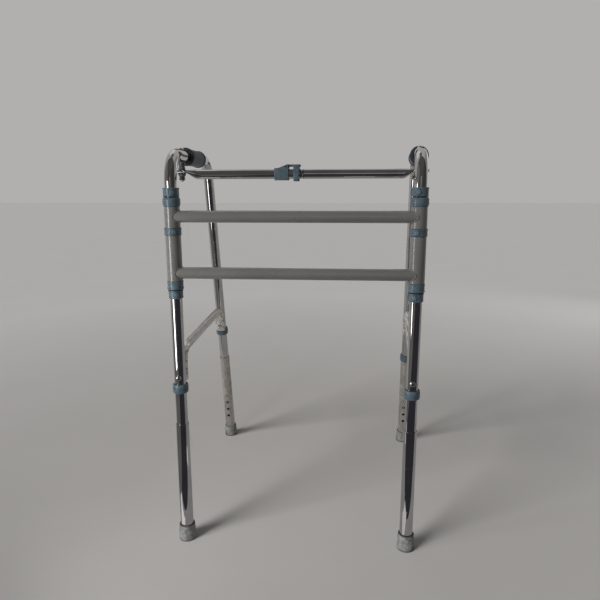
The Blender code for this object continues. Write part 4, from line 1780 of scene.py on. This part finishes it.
    def lever(self) -> Shape:
        """Make the lever's arm and its fork, round its own pin.

        Returns:
            The lever.
        """
        root, top, pin_z = 0.0032, self.fork_height, self.pin[1]
        turns = (math.radians(angle) for angle in range(90, 300, 15))
        arm = [(root * math.cos(turn), root * math.sin(turn)) for turn in turns]
        arm += [(0.0050, -0.0005), (0.0312, -0.0005), (0.0312, top), (0.0050, top)]
        bottom = self.lock_heights[0] - 0.0020 - pin_z
        fork = [(0.0165, bottom), (0.0278, bottom), (0.0293, top - 0.0004), (0.0165, top - 0.0004)]
        cheeks = combined(prism(fork, -self.fork_half, self.fork_half), [], 0.0011)
        room = self.fork_room
        tools = [
            (cheeks, Work.JOIN),
            (block((0.0, -room, -0.05), (0.05, room, room - pin_z)), Work.CUT),
            (rod(self.pin_bore, (0, -0.02, 0), (0, 0.02, 0), 24), Work.CUT),
        ]
        return combined(combined(prism(arm, -0.0060, 0.0060), [], 0.0005), tools)


# Stage


@dataclass(frozen=True)
class Card:
    """A glowing card of the stage that only reflections show: it paints a reflection and gives no diffuse
    light.

    Args:
        name: the card's name.
        low: its lowest corner.
        high: its highest corner.
        level: how bright it is, where 1 is white.
        tint: its tint.
    """

    name: str
    low: Corner
    high: Corner
    level: float
    tint: Corner = (1.0, 0.975, 0.95)


@dataclass(frozen=True)
class SoftBox:
    """An area lamp of the stage.

    Args:
        name: the lamp's name.
        place: where it stands.
        target: what it faces.
        size: its width and height.
        radiance: how bright its face is, where 1 is white.
    """

    name: str
    place: Corner
    target: Corner
    size: Point
    radiance: float


@dataclass
class Studio:
    """Floor, surround, sun, soft boxes, glowing cards that paint reflections, and camera."""

    floor_colour: Colour = colour(0.64, 0.62, 0.595)
    far_colour: Colour = colour(0.93, 0.915, 0.895)
    floor_fade: Point = (0.5, 2.6)
    floor_half: float = 30.0
    floor_top: float = -0.0004
    floor_depth: float = 0.02
    sky_colour: Colour = colour(1.0, 0.985, 0.965)
    sky_light: float = 0.11
    sky_seen: float = 0.44
    sun_energy: float = 2.12
    sun_spread: float = math.radians(24)
    sun_heading: Corner = (0.66, 0.58, -0.50)
    boxes: tuple[SoftBox, ...] = (
        SoftBox("strip_box", (-0.503, -0.565, 0.557), (-0.1, -0.25, 0.557), (0.115, 0.544), 5.5),
        SoftBox("rear_box", (2.0, 2.3, 1.2), (0.0, 0.0, 0.5), (0.6, 1.3), 0.8),
        SoftBox("top_box", (-0.8, 0.9, 2.5), (0.0, 0.0, 0.6), (1.2, 1.2), 0.25),
    )
    # Painted reflections: the dim cards darken what the chrome mirrors in front of and beside the walker, and
    # the two patch cards put bright spots into the lower legs.
    cards: tuple[Card, ...] = (
        Card("front_floor_card", (-0.45, -4.0, 0.0), (2.6, -0.40, 0.001), 0.032, (0.94, 0.92, 1.15)),
        Card("near_floor_card", (-0.45, -0.40, 0.0), (2.6, 3.0, 0.001), 0.25),
        Card("left_patch_card", (-0.46, -0.36, 0.0015), (-0.29, -0.275, 0.0025), 0.80),
        Card("right_patch_card", (0.08, -0.42, 0.0015), (0.19, -0.29, 0.0025), 0.60),
        Card("left_floor_card", (-2.6, -4.0, 0.0), (-0.45, -0.1, 0.001), 0.13),
        Card("left_rear_floor_card", (-2.6, -0.1, 0.0), (-0.45, 3.0, 0.001), 0.36),
        Card("front_card", (-2.6, -4.02, 0.0), (2.6, -4.0, 4.0), 0.075, (1.0, 0.95, 0.98)),
        Card("shelf_card", (-0.35, -3.96, 0.95), (0.55, -3.94, 1.9), 0.32),
        Card("right_card", (2.6, -4.0, 0.0), (2.62, -0.1, 4.0), 0.05),
        Card("right_rear_card", (2.6, -0.1, 0.0), (2.62, 3.0, 4.0), 0.27),
        Card("left_card", (-2.62, -4.0, 0.0), (-2.6, -0.1, 4.0), 0.17),
        Card("left_rear_card", (-2.62, -0.1, 0.0), (-2.6, 3.0, 4.0), 0.42),
        Card("high_front_card", (-2.6, -4.0, 4.0), (2.6, -0.25, 4.02), 0.085),
        Card("high_rear_card", (-0.95, -0.25, 4.0), (0.5, 0.9, 4.02), 0.13),
        Card("rear_left_card", (-1.3, 3.0, 0.0), (-0.5, 3.02, 3.0), 0.06),
        Card("rear_right_card", (0.5, 3.0, 0.0), (1.3, 3.02, 3.0), 0.06),
    )
    sensor: float = 36.0
    camera_place: Corner = (0.079053, -1.343976, 0.78391)
    yaw: float = -0.0797
    pitch: float = 0.2040
    roll: float = -0.0019
    focal_pixels: float = 535.94
    image_pixels: float = 600.0

    def build(self) -> None:
        """Set the stage."""
        bpy.context.scene.view_settings.view_transform = "Standard"
        self.floor()
        self.sky()
        self.sun()
        for box in self.boxes:
            self.light(box)
        for card in self.cards:
            self.hang(card)
        self.camera()

    @staticmethod
    def stand(name: str, low: Corner, high: Corner, graph: Graph) -> bpy.types.Object:
        """A box of the stage, such as the floor or a card.

        Args:
            name: its name.
            low: its lowest corner.
            high: its highest corner.
            graph: its finish.

        Returns:
            The staged object.
        """
        obj = bpy.data.objects.new(name, mesh_from(name, block(low, high)))
        bpy.context.scene.collection.objects.link(obj)
        obj.data.materials.append(graph.material)
        return obj

    def floor(self) -> None:
        """A wide, faintly uneven pale floor that grows paler away from the walker."""
        graph = Graph("pale_floor")
        cloud = graph.ramp(graph.noise(3.0, 5), 0.35, 0.70, 0.0, 0.05)
        reach = graph.add("VectorMath", Vector=graph.stretched((1.0, 1.0, 0.0)))
        reach.operation = "LENGTH"
        fade = graph.ramp(reach.outputs["Value"], *self.floor_fade, 0.0, 0.95)
        tone = graph.blend(graph.math("ADD", fade, cloud), self.floor_colour, self.far_colour)
        graph.set(Base_Color=tone, Roughness=0.9, Specular_IOR_Level=0.2)
        low = (-self.floor_half, -self.floor_half, -self.floor_depth)
        self.stand("studio_floor", low, (self.floor_half, self.floor_half, self.floor_top), graph)

    def sky(self) -> None:
        """An even surround that is paler where it is seen than it is as a light."""
        world = bpy.data.worlds.new("studio_surround")
        world.use_nodes = True
        tree = world.node_tree
        background = tree.nodes["Background"]
        background.inputs["Color"].default_value = self.sky_colour
        rays = tree.nodes.new("ShaderNodeLightPath").outputs
        seen = rays["Is Camera Ray"]
        for kind in ("Is Glossy Ray", "Is Transmission Ray"):
            either = tree.nodes.new("ShaderNodeMath")
            either.operation = "MAXIMUM"
            tree.links.new(seen, either.inputs[0])
            tree.links.new(rays[kind], either.inputs[1])
            seen = either.outputs[0]
        strength = tree.nodes.new("ShaderNodeMapRange")
        strength.inputs["To Min"].default_value = self.sky_light
        strength.inputs["To Max"].default_value = self.sky_seen
        tree.links.new(seen, strength.inputs["Value"])
        tree.links.new(strength.outputs["Result"], background.inputs["Strength"])
        bpy.context.scene.world = world

    def sun(self) -> None:
        """A wide soft sun from the upper left, which gloss doesn't mirror."""
        lamp = bpy.data.lights.new("soft_sun", "SUN")
        lamp.energy, lamp.angle = self.sun_energy, self.sun_spread
        holder = bpy.data.objects.new("soft_sun", lamp)
        bpy.context.scene.collection.objects.link(holder)
        holder.rotation_euler = Vector(self.sun_heading).to_track_quat("-Z", "Y").to_euler()
        holder.visible_glossy = False

    @staticmethod
    def light(box: SoftBox) -> None:
        """Put up an area lamp.

        Args:
            box: which one.
        """
        lamp = bpy.data.lights.new(box.name, "AREA")
        width, height = box.size
        lamp.shape, lamp.size, lamp.size_y = "RECTANGLE", width, height
        lamp.energy = box.radiance * math.pi * width * height
        holder = bpy.data.objects.new(box.name, lamp)
        bpy.context.scene.collection.objects.link(holder)
        holder.location = box.place
        facing = Vector(box.target) - Vector(box.place)
        holder.rotation_euler = facing.to_track_quat("-Z", "Y").to_euler()
        holder.visible_camera = False

    def hang(self, card: Card) -> None:
        """Put up a glowing card that only glossy surfaces reflect, as a painted reflection.

        Args:
            card: which one.
        """
        graph = Graph(card.name)
        tone = colour(*(part * card.level for part in card.tint))
        graph.set(Base_Color=colour(0.0, 0.0, 0.0), Specular_IOR_Level=0.0)
        graph.set(Emission_Color=tone, Emission_Strength=1.0)
        piece = self.stand(card.name, card.low, card.high, graph)
        for ray in ("camera", "diffuse", "shadow", "transmission", "volume_scatter"):
            setattr(piece, f"visible_{ray}", False)

    def camera(self) -> None:
        """The camera at the photograph's viewing angle."""
        lens = bpy.data.cameras.new("photo_camera")
        lens.sensor_width = self.sensor
        lens.sensor_fit = "HORIZONTAL"
        lens.lens = self.focal_pixels / self.image_pixels * self.sensor
        lens.clip_end = 100.0
        holder = bpy.data.objects.new("photo_camera", lens)
        bpy.context.scene.collection.objects.link(holder)
        level = Vector((math.cos(self.yaw), -math.sin(self.yaw), 0))
        heading = Vector((math.sin(self.yaw), math.cos(self.yaw), 0))
        ahead = heading * math.cos(self.pitch) - Vector((0, 0, math.sin(self.pitch)))
        above = level.cross(ahead)
        right = level * math.cos(self.roll) + above * math.sin(self.roll)
        up = above * math.cos(self.roll) - level * math.sin(self.roll)
        turn = Matrix((right, up, -ahead)).transposed().to_4x4()
        holder.matrix_world = Matrix.Translation(self.camera_place) @ turn
        bpy.context.scene.camera = holder


def main() -> None:
    """Build the whole scene in order."""
    logging.basicConfig(level=logging.INFO, format="%(message)s")
    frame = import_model()
    dresser = Dresser(Finishes(), frame)
    Studio().build()
    Crossbars().build(dresser)
    for side in Side:
        SideFrame(side).build(dresser)
        HingeStack(side).build(dresser)
        BarPivot(side).build(dresser)
        for leg in Leg:
            LegSet(side, leg).build(dresser)
    TopBrace().build(dresser)


if __name__ == "__main__":
    main()
